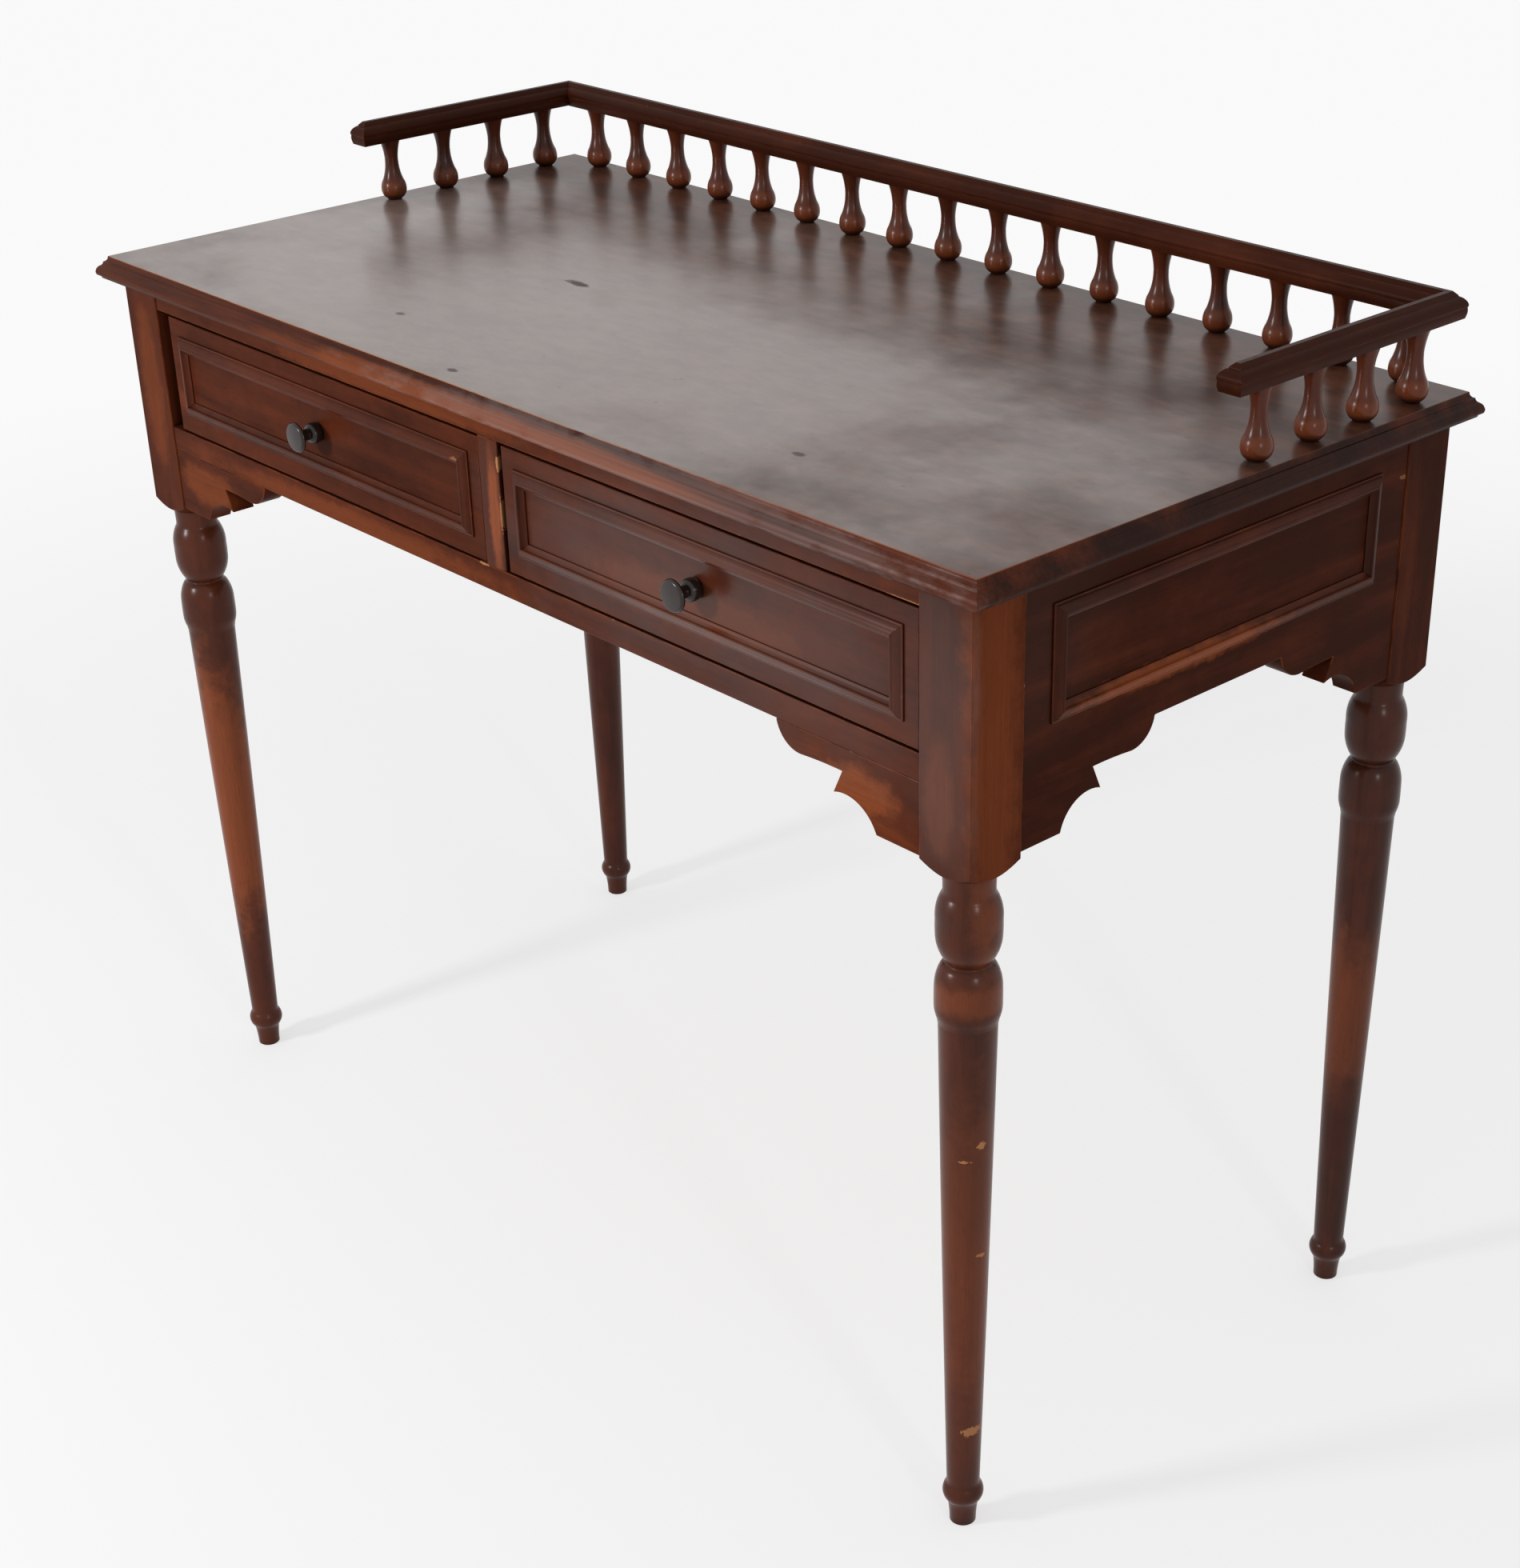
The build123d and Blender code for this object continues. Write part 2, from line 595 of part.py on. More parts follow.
def cut_or_add_front_tails(x, mode):
    tails = tail_sketch(x, FRONT_ROOT_Y, FRONT_TAIL_END_Y, FRONT_TAIL_HALVES, TAIL_CENTRES)
    extrude(tails, amount=SIDE_THICKNESS, mode=mode)


def cut_or_add_back_tails(x, mode):
    tails = tail_sketch(x, BACK_ROOT_Y, DRAWER_BACK_Y, BACK_TAIL_HALVES, TAIL_CENTRES[1:])
    extrude(tails, amount=SIDE_THICKNESS, mode=mode)


def bottom_panel(left_x, mode=Mode.ADD):
    """The drawer's bottom: it slides in grooves in the sides and the front, under the back."""
    inset = SIDE_THICKNESS - GROOVE_DEPTH
    block(
        (left_x + inset, left_x + DRAWER_WIDTH - inset),
        (FRONT_ROOT_Y - GROOVE_DEPTH, DRAWER_BACK_Y),
        (PANEL_HEIGHT, PANEL_HEIGHT + PANEL_THICKNESS),
        mode,
    )


def make_drawer(name, left_x):
    """One dovetailed drawer, as (node name, piece) pairs."""
    right_x = left_x + DRAWER_WIDTH
    side_starts = {"left": left_x, "right": right_x - SIDE_THICKNESS}
    knob_x = left_x + DRAWER_WIDTH / 2

    with BuildPart() as front:
        block((left_x, right_x), (DRAWER_FACE_Y, FRONT_ROOT_Y), (DRAWER_BOTTOM, DRAWER_TOP))
        chamfer(front.faces().sort_by(Axis.Y)[0].edges(), length=DRAWER_ARRIS)
        for start in side_starts.values():
            cut_or_add_front_tails(start, Mode.SUBTRACT)
        bottom_panel(left_x, Mode.SUBTRACT)
        with Locations(Plane(origin=(knob_x, DRAWER_FACE_Y, KNOB_HEIGHT), z_dir=(0, -1, 0))):
            Hole(SPIGOT_RADIUS)
    yield f"{name}_front", front

    for side_name, start in side_starts.items():
        with BuildPart() as lining:
            block((start, start + SIDE_THICKNESS), (FRONT_ROOT_Y, DRAWER_BACK_Y), (SIDE_BOTTOM, SIDE_TOP))
            block((start, start + SIDE_THICKNESS), (BACK_ROOT_Y, DRAWER_BACK_Y), (LINING_BOTTOM, LINING_TOP),
                  Mode.SUBTRACT)
            cut_or_add_front_tails(start, Mode.ADD)
            cut_or_add_back_tails(start, Mode.ADD)
            bottom_panel(left_x, Mode.SUBTRACT)
        yield f"{name}_side_{side_name}", lining

    with BuildPart() as back:
        block((left_x, right_x), (BACK_ROOT_Y, DRAWER_BACK_Y), (LINING_BOTTOM, LINING_TOP))
        for start in side_starts.values():
            cut_or_add_back_tails(start, Mode.SUBTRACT)
    yield f"{name}_back", back

    with BuildPart() as panel:
        bottom_panel(left_x)
    yield f"{name}_bottom", panel

    front_face = Plane(origin=(knob_x, DRAWER_FACE_Y, DRAWER_FRAME_HEIGHT), x_dir=(1, 0, 0), z_dir=(0, -1, 0))
    for strip_name, strip in moulding_frame(front_face, DRAWER_FRAME_SIZE):
        yield f"{name}_moulding_{strip_name}", strip

    with BuildPart() as knob:
        knob_seat = Plane(origin=(knob_x, DRAWER_FACE_Y, KNOB_HEIGHT), z_dir=(0, -1, 0))
        add_small_turning(knob_seat, SPIGOT_PROFILE, KNOB_SIDES)
        add_small_turning(knob_seat, KNOB_PROFILE, KNOB_SIDES)
    yield f"{name}_knob", knob


for drawer_name, drawer_left_x in DRAWER_LEFT_X.items():
    for piece_name, piece in make_drawer(drawer_name, drawer_left_x):
        save(piece, piece_name)


# ---------------------------------------------------------------- gallery

def add_rail_edge(outer):
    """Half of the gallery rail's section, from the middle of its top round to the middle underneath.

    outer is the widest point in the plane's x, and y is height.
    """
    top, under = GALLERY_TOP, GALLERY_UNDERSIDE
    Polyline((0, top), (outer - 8.2, top), (outer - 5.4, top - 2.7), (outer - 5.2, top - 3.6))
    ThreePointArc((outer - 5.2, top - 3.6), (outer - 2, top - 5), (outer, top - 8.6))
    Polyline((outer, top - 8.6), (outer, top - 10.6), (outer - 0.9, top - 11.4), (outer, top - 12.3))
    Polyline((outer, top - 12.3), (outer, under + 1.6), (outer - 1.2, under), (0, under))


def make_gallery_rail(plan, along):
    """A rail whose section is moulded on both sides, mitred where its plan is cut at 45 degrees."""
    section_plane = Plane.XZ if along == "y" else Plane.YZ
    offset = GALLERY_X if along == "y" else GALLERY_BACK_Y
    with BuildPart() as rail:
        with BuildSketch(section_plane):
            with BuildLine():
                add_rail_edge(RAIL_HALF_WIDTH)
                mirror(about=Plane.YZ)
            make_face()
        extrude(amount=TOP_LENGTH, both=True)
    places = (-offset, offset) if along == "y" else (offset,)
    for place in places:
        shift = (place, 0, 0) if along == "y" else (0, place, 0)
        sign = 1 if place > 0 else -1
        with BuildPart() as placed:
            with Locations(shift):
                add(rail.part)
            with BuildSketch(Plane.XY):
                with BuildLine():
                    Polyline(*[(x * sign if along == "y" else x, y) for x, y in plan], close=True)
                make_face()
            extrude(amount=GALLERY_TOP + 1, mode=Mode.INTERSECT)
        yield placed


OUTER_X, INNER_X = GALLERY_X + RAIL_HALF_WIDTH, GALLERY_X - RAIL_HALF_WIDTH
OUTER_Y, INNER_Y = GALLERY_BACK_Y + RAIL_HALF_WIDTH, GALLERY_BACK_Y - RAIL_HALF_WIDTH
BACK_PLAN = ((-OUTER_X, OUTER_Y), (OUTER_X, OUTER_Y), (INNER_X, INNER_Y), (-INNER_X, INNER_Y))
SIDE_PLAN = ((OUTER_X, OUTER_Y), (INNER_X, INNER_Y), (INNER_X, GALLERY_FRONT_Y), (OUTER_X, GALLERY_FRONT_Y))

for back_rail in make_gallery_rail(BACK_PLAN, "x"):
    save(back_rail, "gallery_rail_back")

# The moulding returns round the front end of each side rail.
with BuildPart() as return_shape:
    with BuildSketch(Plane.YZ):
        with BuildLine():
            add_rail_edge(OUTER_Y - GALLERY_FRONT_Y)
            Line((0, GALLERY_TOP), (0, GALLERY_UNDERSIDE))
        make_face()
    extrude(amount=TOP_LENGTH, both=True)

for side_rail, side_name in zip(make_gallery_rail(SIDE_PLAN, "y"), ("left", "right")):
    with BuildPart() as returned:
        add(side_rail.part)
        with Locations((0, OUTER_Y, 0)):
            add(return_shape.part.mirror(Plane.XZ), mode=Mode.INTERSECT)
    save(returned, f"gallery_rail_{side_name}")

SPINDLE_PROFILE = ((6, 0), (11, 8), (6.4, 21.5), (5.4, 35), (8.6, GALLERY_UNDERSIDE - TOP_HEIGHT))

with BuildPart() as spindle:
    add_small_turning(Plane.XY.offset(TOP_HEIGHT), SPINDLE_PROFILE, SPINDLE_SIDES)

first_x = BACK_SPINDLE_MIDDLE_X - (BACK_SPINDLES - 1) / 2 * BACK_SPINDLE_STEP
spindle_places = {"back": [(first_x + i * BACK_SPINDLE_STEP, GALLERY_BACK_Y) for i in range(BACK_SPINDLES)]}
for side, side_name in ((-1, "left"), (1, "right")):
    spindle_places[side_name] = [
        (side * GALLERY_X, SIDE_SPINDLE_START + i * SIDE_SPINDLE_STEP) for i in range(SIDE_SPINDLES)
    ]

for row_name, places in spindle_places.items():
    with BuildPart() as spindles:
        with Locations(*places):
            add(spindle.part)
    save(spindles, f"gallery_spindles_{row_name}")
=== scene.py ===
import json
import math
from itertools import pairwise
from random import Random

import bmesh
import bpy
from bpy.props import FloatProperty, FloatVectorProperty, IntProperty, PointerProperty
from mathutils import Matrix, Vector

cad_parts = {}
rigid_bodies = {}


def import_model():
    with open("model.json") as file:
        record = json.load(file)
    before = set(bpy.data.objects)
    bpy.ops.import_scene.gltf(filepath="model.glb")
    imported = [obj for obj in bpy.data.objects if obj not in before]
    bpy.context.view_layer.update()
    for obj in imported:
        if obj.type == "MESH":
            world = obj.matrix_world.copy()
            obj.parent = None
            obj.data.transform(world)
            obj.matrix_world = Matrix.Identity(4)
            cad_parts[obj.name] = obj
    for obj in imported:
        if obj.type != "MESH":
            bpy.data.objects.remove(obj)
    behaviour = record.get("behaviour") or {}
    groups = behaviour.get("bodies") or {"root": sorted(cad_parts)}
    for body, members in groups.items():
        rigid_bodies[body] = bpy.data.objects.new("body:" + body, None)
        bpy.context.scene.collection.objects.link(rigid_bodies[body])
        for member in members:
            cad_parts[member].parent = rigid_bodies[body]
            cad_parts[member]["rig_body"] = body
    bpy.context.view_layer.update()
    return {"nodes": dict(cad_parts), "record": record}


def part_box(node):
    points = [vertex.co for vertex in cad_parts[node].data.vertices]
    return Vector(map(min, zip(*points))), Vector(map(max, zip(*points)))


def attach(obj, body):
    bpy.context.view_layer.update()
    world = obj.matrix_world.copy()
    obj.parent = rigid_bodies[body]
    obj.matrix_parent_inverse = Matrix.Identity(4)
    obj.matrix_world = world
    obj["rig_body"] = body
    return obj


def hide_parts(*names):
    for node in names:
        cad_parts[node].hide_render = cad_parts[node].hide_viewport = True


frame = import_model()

bl_info = {
    "name": "Sewing desk",
    "version": (1, 0, 0),
    "blender": (4, 5, 0),
    "location": "View3D > Sidebar > Desk",
    "description": "Dresses the jointed frame of a two-drawer sewing desk with a spindle gallery",
    "category": "Add Mesh",
}

MM = 0.001
CORNER_SAMPLES = 6
MERGE_DISTANCE = 0.01 * MM
CUT_DISTANCE = 0.0001 * MM
# The least angle in degrees at which an edge stays sharp in the shading, by the kind of piece.
SHARP_BOARD, SHARP_MOULDED, SHARP_STRIP, SHARP_TURNED, SHARP_SMALL_TURNED = 32, 28, 30, 30, 50
X, Y, Z = Vector((1, 0, 0)), Vector((0, 1, 0)), Vector((0, 0, 1))
SIDES = {"left": -1, "right": 1}
SLOTS = {part["node"]: part["material_slot"] for part in frame["record"]["subparts"]}


# ---------------------------------------------------------------- settings


def length_setting(name, description, value):
    return FloatProperty(name=name, description=description, default=value, unit="LENGTH")


def count_setting(name, description, value):
    return IntProperty(name=name, description=description, default=value)


def colour_setting(name, description, *value):
    return FloatVectorProperty(
        name=name, description=description, default=value, subtype="COLOR", size=3,
    )


def power_setting(name, description, value):
    return FloatProperty(name=name, description=description, default=value, unit="POWER")


class DeskShape(bpy.types.PropertyGroup):
    arris: length_setting("Arris", "How much the edges of sawn boards are eased", 0.7 * MM)
    moulding_arris: length_setting(
        "Moulding arris", "How much the edges of mouldings are eased", 0.3 * MM,
    )
    top_arris: length_setting(
        "Top arris", "How much the rim of the top's upper face is eased", 0.5 * MM,
    )
    turning_steps: count_setting("Turning steps", "Flats round a leg or a knob", 56)
    spindle_steps: count_setting("Spindle steps", "Flats round a gallery spindle", 36)


class DeskFinish(bpy.types.PropertyGroup):
    stain_dark: colour_setting(
        "Dark stain", "Stained wood where the varnish is thick", 0.034, 0.0078, 0.0032,
    )
    stain_mid: colour_setting("Stain", "Stained wood on open faces", 0.098, 0.0215, 0.0080)
    stain_worn: colour_setting(
        "Worn stain", "Stained wood where handling has thinned the varnish", 0.26, 0.062, 0.017,
    )
    top_dark: colour_setting("Top, dark", "The darker streaks of the top board", 0.048, 0.019, 0.012)
    top_warm: colour_setting(
        "Top, warm", "The top board where its varnish is still clear", 0.130, 0.050, 0.028,
    )
    # The hazed top colour is partly cloudy varnish and partly a painted sheen.
    top_haze_and_sheen: colour_setting(
        "Top, hazed", "The top board where its varnish has gone cloudy", 0.262, 0.200, 0.176,
    )
    ebony: colour_setting("Ebonised wood", "The knobs", 0.016, 0.0085, 0.0070)
    bare_wood: colour_setting("Bare wood", "Chips and rubbed edges", 0.42, 0.185, 0.080)
    lining_dark: colour_setting(
        "Lining, dark", "Grain of the unvarnished drawer wood", 0.26, 0.15, 0.075,
    )
    lining_light: colour_setting("Lining, light", "Unvarnished drawer wood", 0.50, 0.34, 0.19)
    # The glaze colour is old varnish in pores and dents, and painted shade in the corners, the quirks
    # and the top's right end.
    glaze_and_shade: colour_setting("Glaze", "Old varnish and dust in the corners", 0.014, 0.005, 0.0035)


class DeskStage(bpy.types.PropertyGroup):
    floor_colour: colour_setting("Floor", "Colour of the paper under the desk", 0.93, 0.93, 0.935)
    floor_glow: FloatVectorProperty(
        name="Floor glow",
        description="How far the paper is lifted to white under the desk, and far away",
        default=(0.61, 0.89), size=2,
    )
    sky_strength: FloatProperty(
        name="Sky", description="Strength of the even light all round", default=0.56,
    )
    front_power: power_setting("Front lamp", "Power of the front lamp", 32)
    side_power: power_setting("Side lamp", "Power of the side lamp", 9)
    camera_place: FloatVectorProperty(
        name="Camera place", description="Where the camera stands",
        default=(1.50397, -1.27897, 1.33429), subtype="TRANSLATION", unit="LENGTH", size=3,
    )
    camera_turn: FloatVectorProperty(
        name="Camera turn", description="How the camera is turned",
        default=[math.radians(angle) for angle in (60.5753, 0.7305, 46.7618)],
        subtype="EULER", unit="ROTATION", size=3,
    )
    camera_lens: FloatProperty(
        name="Lens", description="Focal length in millimetres", default=61.41,
    )
    camera_shift: FloatVectorProperty(
        name="Shift", description="Lens shift, as a share of the taller side",
        default=(-0.05614, 0.09357), size=2,
    )


# ---------------------------------------------------------------- shader helpers


class Field:
    """A value that changes over a surface. Arithmetic on it adds Math nodes to its tree."""

    def __init__(self, board, socket):
        self.board = board
        self.socket = socket

    def maths(self, operation, *terms):
        return self.board.node("Math", {"operation": operation}, dict(enumerate(terms)))

    def __add__(self, other):
        return self.maths("ADD", self, other)

    __radd__ = __add__

    def __sub__(self, other):
        return self.maths("SUBTRACT", self, other)

    def __rsub__(self, other):
        return self.maths("SUBTRACT", other, self)

    def __mul__(self, other):
        return self.maths("MULTIPLY", self, other)

    def most(self, other):
        return self.maths("MAXIMUM", self, other)

    def between(self, low, high):
        """0 below low and 1 above high, with a smooth step from one to the other."""
        limits = {"Value": self, "From Min": low, "From Max": high}
        return self.board.node("MapRange", {"interpolation_type": "SMOOTHSTEP"}, limits)


class Tree:
    """A node tree, and one way to add any node to it."""

    def __init__(self, tree):
        self.tree = tree

    def node(self, kind, settings=None, sockets=None, output=0):
        added = self.tree.nodes.new("ShaderNode" + kind)
        for key, value in (settings or {}).items():
            setattr(added, key, value)
        for key, value in (sockets or {}).items():
            self.feed(self.find(added.inputs, key), value)
        return Field(self, self.find(added.outputs, output))

    def find(self, sockets, key):
        if isinstance(key, int):
            return sockets[key]
        return next(s for s in sockets if key in (s.identifier, s.name))

    def feed(self, socket, value):
        if isinstance(value, Field):
            self.tree.links.new(value.socket, socket)
        elif socket.type == "RGBA":
            socket.default_value = (*value[:3], 1)
        else:
            socket.default_value = value

    def seen(self):
        """1 where the camera sees a surface, straight or mirrored, and 0 for soft light."""
        rays = ("Camera", "Glossy", "Transmission")
        camera, glossy, through = (self.node("LightPath", output=f"Is {ray} Ray") for ray in rays)
        return (camera + glossy + through).between(0, 1)


class Finish(Tree):
    """A material with a Principled shader, with wood in mind."""

    # How far a board's tone moves its pattern along each axis, so that no two boards look the same.
    TONE_SHIFT = (1.7, 2.3, 3.1)

    def __init__(self, name):
        self.material = bpy.data.materials.new(name)
        self.material.use_nodes = True
        super().__init__(self.material.node_tree)
        self.shader = self.tree.nodes["Principled BSDF"]
        self.here = self.node("TexCoord", output="Object")
        self.tone = self.mark("board_tone")
        shares = {axis: self.tone * share for axis, share in enumerate(self.TONE_SHIFT)}
        shift = self.node("CombineXYZ", None, shares)
        self.place = self.node("VectorMath", {"operation": "ADD"}, {0: self.here, 1: shift})

    def mark(self, name):
        """A number that the mesh carries on each of its faces."""
        return self.node("Attribute", {"attribute_name": name}, output="Fac")

    def set(self, **sockets):
        """Feed the shader's own sockets, named in lower case with underscores."""
        for key, value in sockets.items():
            label = key.replace("_", " ").title().replace("Ior", "IOR")
            self.feed(self.shader.inputs[label], value)

    def mix(self, factor, low, high):
        settings = {"data_type": "RGBA"}
        sockets = {"Factor_Float": factor, "A_Color": low, "B_Color": high}
        return self.node("Mix", settings, sockets, "Result_Color")

    def stretched(self, grain, times):
        """The place on the wood with one axis drawn out, so that a pattern runs with the grain."""
        scale = [1 / times if axis == grain else 1 for axis in range(3)]
        return self.node("Mapping", None, {"Vector": self.place, "Scale": scale})

    def noise(self, place, size, detail, roughness, distortion=0):
        """Noise whose features are about as large as size, in metres."""
        sockets = {
            "Vector": place, "Scale": 1 / size, "Detail": detail, "Roughness": roughness,
            "Distortion": distortion,
        }
        return self.node("TexNoise", None, sockets)

    def patch(self, middle, reach, ragged, soft=0.6):
        """1 in a round patch about a point and 0 past its reach on each axis, with a ragged rim."""
        offset = self.node("VectorMath", {"operation": "SUBTRACT"}, {0: self.here, 1: middle})
        scaled = self.node("VectorMath", {"operation": "DIVIDE"}, {0: offset, 1: reach})
        distance = self.node("VectorMath", {"operation": "LENGTH"}, {0: scaled}, "Value")
        return 1 - (distance + ragged).between(1 - soft, 1)

    def patches(self, places, ragged, soft=0.6):
        """The most of several patches, each given as (middle, reach, strength)."""
        found = [
            self.patch(middle, reach, ragged, soft) * strength for middle, reach, strength in places
        ]
        most = found[0]
        for field in found[1:]:
            most = most.most(field)
        return most

    def corners(self, reach):
        """How deep in a corner a point lies, 1 deep in and 0 on open wood, for painting shade there."""
        open_sky = self.node("AmbientOcclusion", {"samples": CORNER_SAMPLES}, {"Distance": reach}, "AO")
        return 1 - open_sky

    def bump(self, height, depth, strength):
        return self.node("Bump", None, {"Height": height, "Distance": depth, "Strength": strength})


# ---------------------------------------------------------------- wear, and painted light and shade, that is in one place


# Rubbed places, with a painted highlight round the spindles' bellies, and chips by grain direction:
# (middle, reach along x, y and z, strength), in metres.
RUBBED = {
    "x": {
        "right bracket": ((0.383, -0.23, 0.571), (0.050, 0.02, 0.024), 0.85),
        "left bracket": ((-0.395, -0.23, 0.575), (0.050, 0.02, 0.022), 0.55),
        "top rail": ((-0.12, -0.23, 0.722), (0.20, 0.01, 0.009), 0.45),
        "lower rail": ((-0.16, -0.23, 0.604), (0.24, 0.01, 0.013), 0.45),
        "right drawer": ((0.22, -0.23, 0.650), (0.15, 0.01, 0.022), 0.30),
        "front edge of the top": ((0.02, -0.247, 0.738), (0.34, 0.012, 0.010), 0.70),
    },
    "y": {
        "lower strip on the right": ((0.488, -0.04, 0.634), (0.012, 0.13, 0.010), 0.90),
        "left side": ((-0.486, 0.02, 0.66), (0.012, 0.10, 0.03), 0.35),
    },
    "z": {
        "side of the near post": ((0.487, -0.211, 0.640), (0.020, 0.034, 0.22), 0.50),
        "front of the near post": ((0.458, -0.2315, 0.590), (0.018, 0.01, 0.05), 0.30),
        "cups": ((0.463, -0.2085, 0.449), (0.08, 0.08, 0.014), 0.50),
        "front of the far post": ((-0.463, -0.2315, 0.650), (0.020, 0.012, 0.09), 0.40),
        "divider": ((0.009, -0.2305, 0.664), (0.008, 0.02, 0.060), 0.95),
        "far front leg": ((-0.455, -0.220, 0.250), (0.06, 0.06, 0.17), 0.85),
        "back leg": ((0.465, 0.200, 0.260), (0.06, 0.06, 0.09), 0.40),
        "painted highlight on the spindles' bellies": ((0, 0, 0.7590), (9, 9, 0.010), 0.36),
        "near leg": ((0.463, -0.2085, 0.230), (0.06, 0.06, 0.18), 0.34),
    },
}
CHIPS = {
    "x": {
        "drawer corner": ((-0.0307, -0.2305, 0.6915), (0.006, 0.01, 0.0016), 0.45),
        "rail under the divider": ((-0.010, -0.2305, 0.6165), (0.006, 0.01, 0.0012), 0.9),
        "rail at the right post": ((0.430, -0.2305, 0.7155), (0.020, 0.01, 0.0008), 0.6),
    },
    "y": {
        "rail end": ((0.486, 0.19, 0.70), (0.01, 0.004, 0.002), 0.4),
    },
    "z": {
        "divider corner": ((0.0165, -0.2305, 0.6985), (0.0022, 0.01, 0.006), 0.9),
        "divider foot": ((0.0165, -0.2305, 0.6600), (0.0012, 0.01, 0.014), 0.7),
        "leg, high": ((0.482, -0.2131, 0.3372), (0.004, 0.004, 0.0035), 0.9),
        "leg, middle": ((0.4754, -0.2236, 0.3249), (0.006, 0.006, 0.0012), 0.8),
        "leg, low": ((0.4809, -0.2104, 0.2457), (0.004, 0.004, 0.002), 0.8),
        "ankle": ((0.4757, -0.213, 0.0903), (0.009, 0.009, 0.0045), 0.8),
    },
}
# Where the varnish has kept its gloss, by grain direction, in the same form.
GLOSSY = {
    "x": {
        "right drawer": ((0.26, -0.23, 0.66), (0.34, 0.03, 0.10), 1.0),
        "rails on the right": ((0.30, -0.23, 0.66), (0.30, 0.03, 0.14), 0.8),
    },
    "y": {
        "side apron by the post": ((0.48, -0.17, 0.68), (0.03, 0.09, 0.09), 0.15),
    },
    "z": {
        "front of the near post": ((0.455, -0.2315, 0.64), (0.06, 0.012, 0.16), 1.0),
        "divider": ((0.0056, -0.2305, 0.665), (0.03, 0.02, 0.09), 0.35),
    },
}
TOP_DENTS = {
    "long dent": ((-0.1527, -0.0191, 0.75), (0.016, 0.006, 0.01), 0.8),
    "front dent": ((-0.045, -0.2196, 0.75), (0.007, 0.004, 0.01), 0.7),
    "left dent": ((-0.1878, -0.1646, 0.75), (0.006, 0.004, 0.01), 0.6),
    "near dent": ((0.262, -0.165, 0.75), (0.008, 0.004, 0.01), 0.6),
}
# Other places on the top: (middle, reach along x, y and z), in metres. The cloudy varnish is partly a
# painted sheen, and the shaded end is painted shade.
TOP_PLACES = {
    "cloudy varnish": ((-0.10, -0.11, 0.75), (0.80, 0.35, 0.5)),
    "shaded end": ((0.503, 0.05, 0.741), (0.02, 0.34, 0.03)),
    "handled edge": ((0, -0.25, 0.75), (0.9, 0.25, 0.05)),
    "bare edge": ((-0.10, -0.24, 0.75), (0.42, 0.02, 0.01)),
    "shiny nose": ((0.20, -0.246, 0.742), (0.36, 0.02, 0.02)),
}


# ---------------------------------------------------------------- finishes


# How far the painted shade in the corners reaches.
CORNER_SHADE_REACH = 12 * MM
BUMP_DEPTH = 0.10 * MM
OLD_VARNISH_IOR = 1.33


def stained_wood(name, grain, wear=0.5, gloss=0.02, coat=0.0):
    """Red-brown stained wood under old varnish: orange where it is rubbed, with painted shade in the
    corners.
    """
    look = bpy.context.scene.desk_finish
    finish = Finish(name)
    axis = "xyz"[grain]
    figure = finish.noise(finish.stretched(grain, 8), 24 * MM, 4, 0.55, 0.5)
    fibres = finish.noise(finish.stretched(grain, 36), 2.6 * MM, 3, 0.6)
    pores = finish.noise(finish.stretched(grain, 20), 0.6 * MM, 2, 0.5).between(0.58, 0.72)
    clouds = finish.noise(finish.place, 70 * MM, 4, 0.6)
    blotches = finish.noise(finish.place, 16 * MM, 4, 0.65)
    ragged = figure + blotches - 1
    # The piece's wear mark also darkens the right side's apron and mouldings: painted shade.
    board_wear_and_shade = finish.mark("board_wear_and_shade")
    worn_edge = finish.mark("worn_edge")
    depth = figure * 0.55 + fibres * 0.2 + clouds * 0.3 + blotches * 0.15 + board_wear_and_shade * 0.09
    colour = finish.mix(depth.between(0.40, 0.78), look.stain_dark, look.stain_mid)
    thin = clouds * 0.6 + figure * 0.4 + board_wear_and_shade * 0.12
    thin = thin.between(0.70 - 0.22 * wear, 0.92 - 0.2 * wear)
    # The rubbed patches include a painted highlight round the spindles' bellies.
    rubbed = (thin * 0.6).most(finish.patches(RUBBED[axis].values(), ragged))
    colour = finish.mix(rubbed * (0.75 + fibres * 0.3), colour, look.stain_worn)
    colour = finish.mix(fibres.between(0.35, 0.65) * 0.22, colour, look.stain_dark)
    colour = finish.mix(pores * 0.25, colour, look.glaze_and_shade)
    edge = worn_edge * finish.noise(finish.place, 24 * MM, 3, 0.6).between(0.40, 0.62)
    colour = finish.mix(edge * 0.45, colour, look.stain_worn)
    speckle = (finish.noise(finish.place, 2.2 * MM, 2, 0.6) - 0.5) * 1.6
    chips = finish.patches(CHIPS[axis].values(), speckle, 0.25)
    nicks = worn_edge * finish.noise(finish.place, 8 * MM, 2, 0.5).between(0.71, 0.74)
    bare = chips.most(nicks * 0.7)
    colour = finish.mix(bare, colour, look.bare_wood)
    # Painted shade: corners that see little open sky are darkened.
    corner = finish.corners(CORNER_SHADE_REACH).between(0.15, 0.75)
    colour = finish.mix(corner * 0.85, colour, look.glaze_and_shade)
    haze = finish.noise(finish.place, 22 * MM, 4, 0.6)
    glossy = finish.patches(GLOSSY[axis].values(), (clouds - 0.5) * 0.8, 0.8)
    varnish = glossy + finish.mark("turned") * 0.62 + coat
    finish.set(base_color=colour, specular_ior_level=gloss)
    finish.set(roughness=0.26 + haze * 0.16 + pores * 0.12 + bare * 0.25)
    finish.set(coat_weight=varnish * (1 - bare), coat_roughness=0.25, coat_ior=OLD_VARNISH_IOR)
    height = fibres * 0.35 - pores * 0.5 + haze * 0.9 - bare * 1.2
    finish.set(normal=finish.bump(height, BUMP_DEPTH, 0.8))
    return finish.material


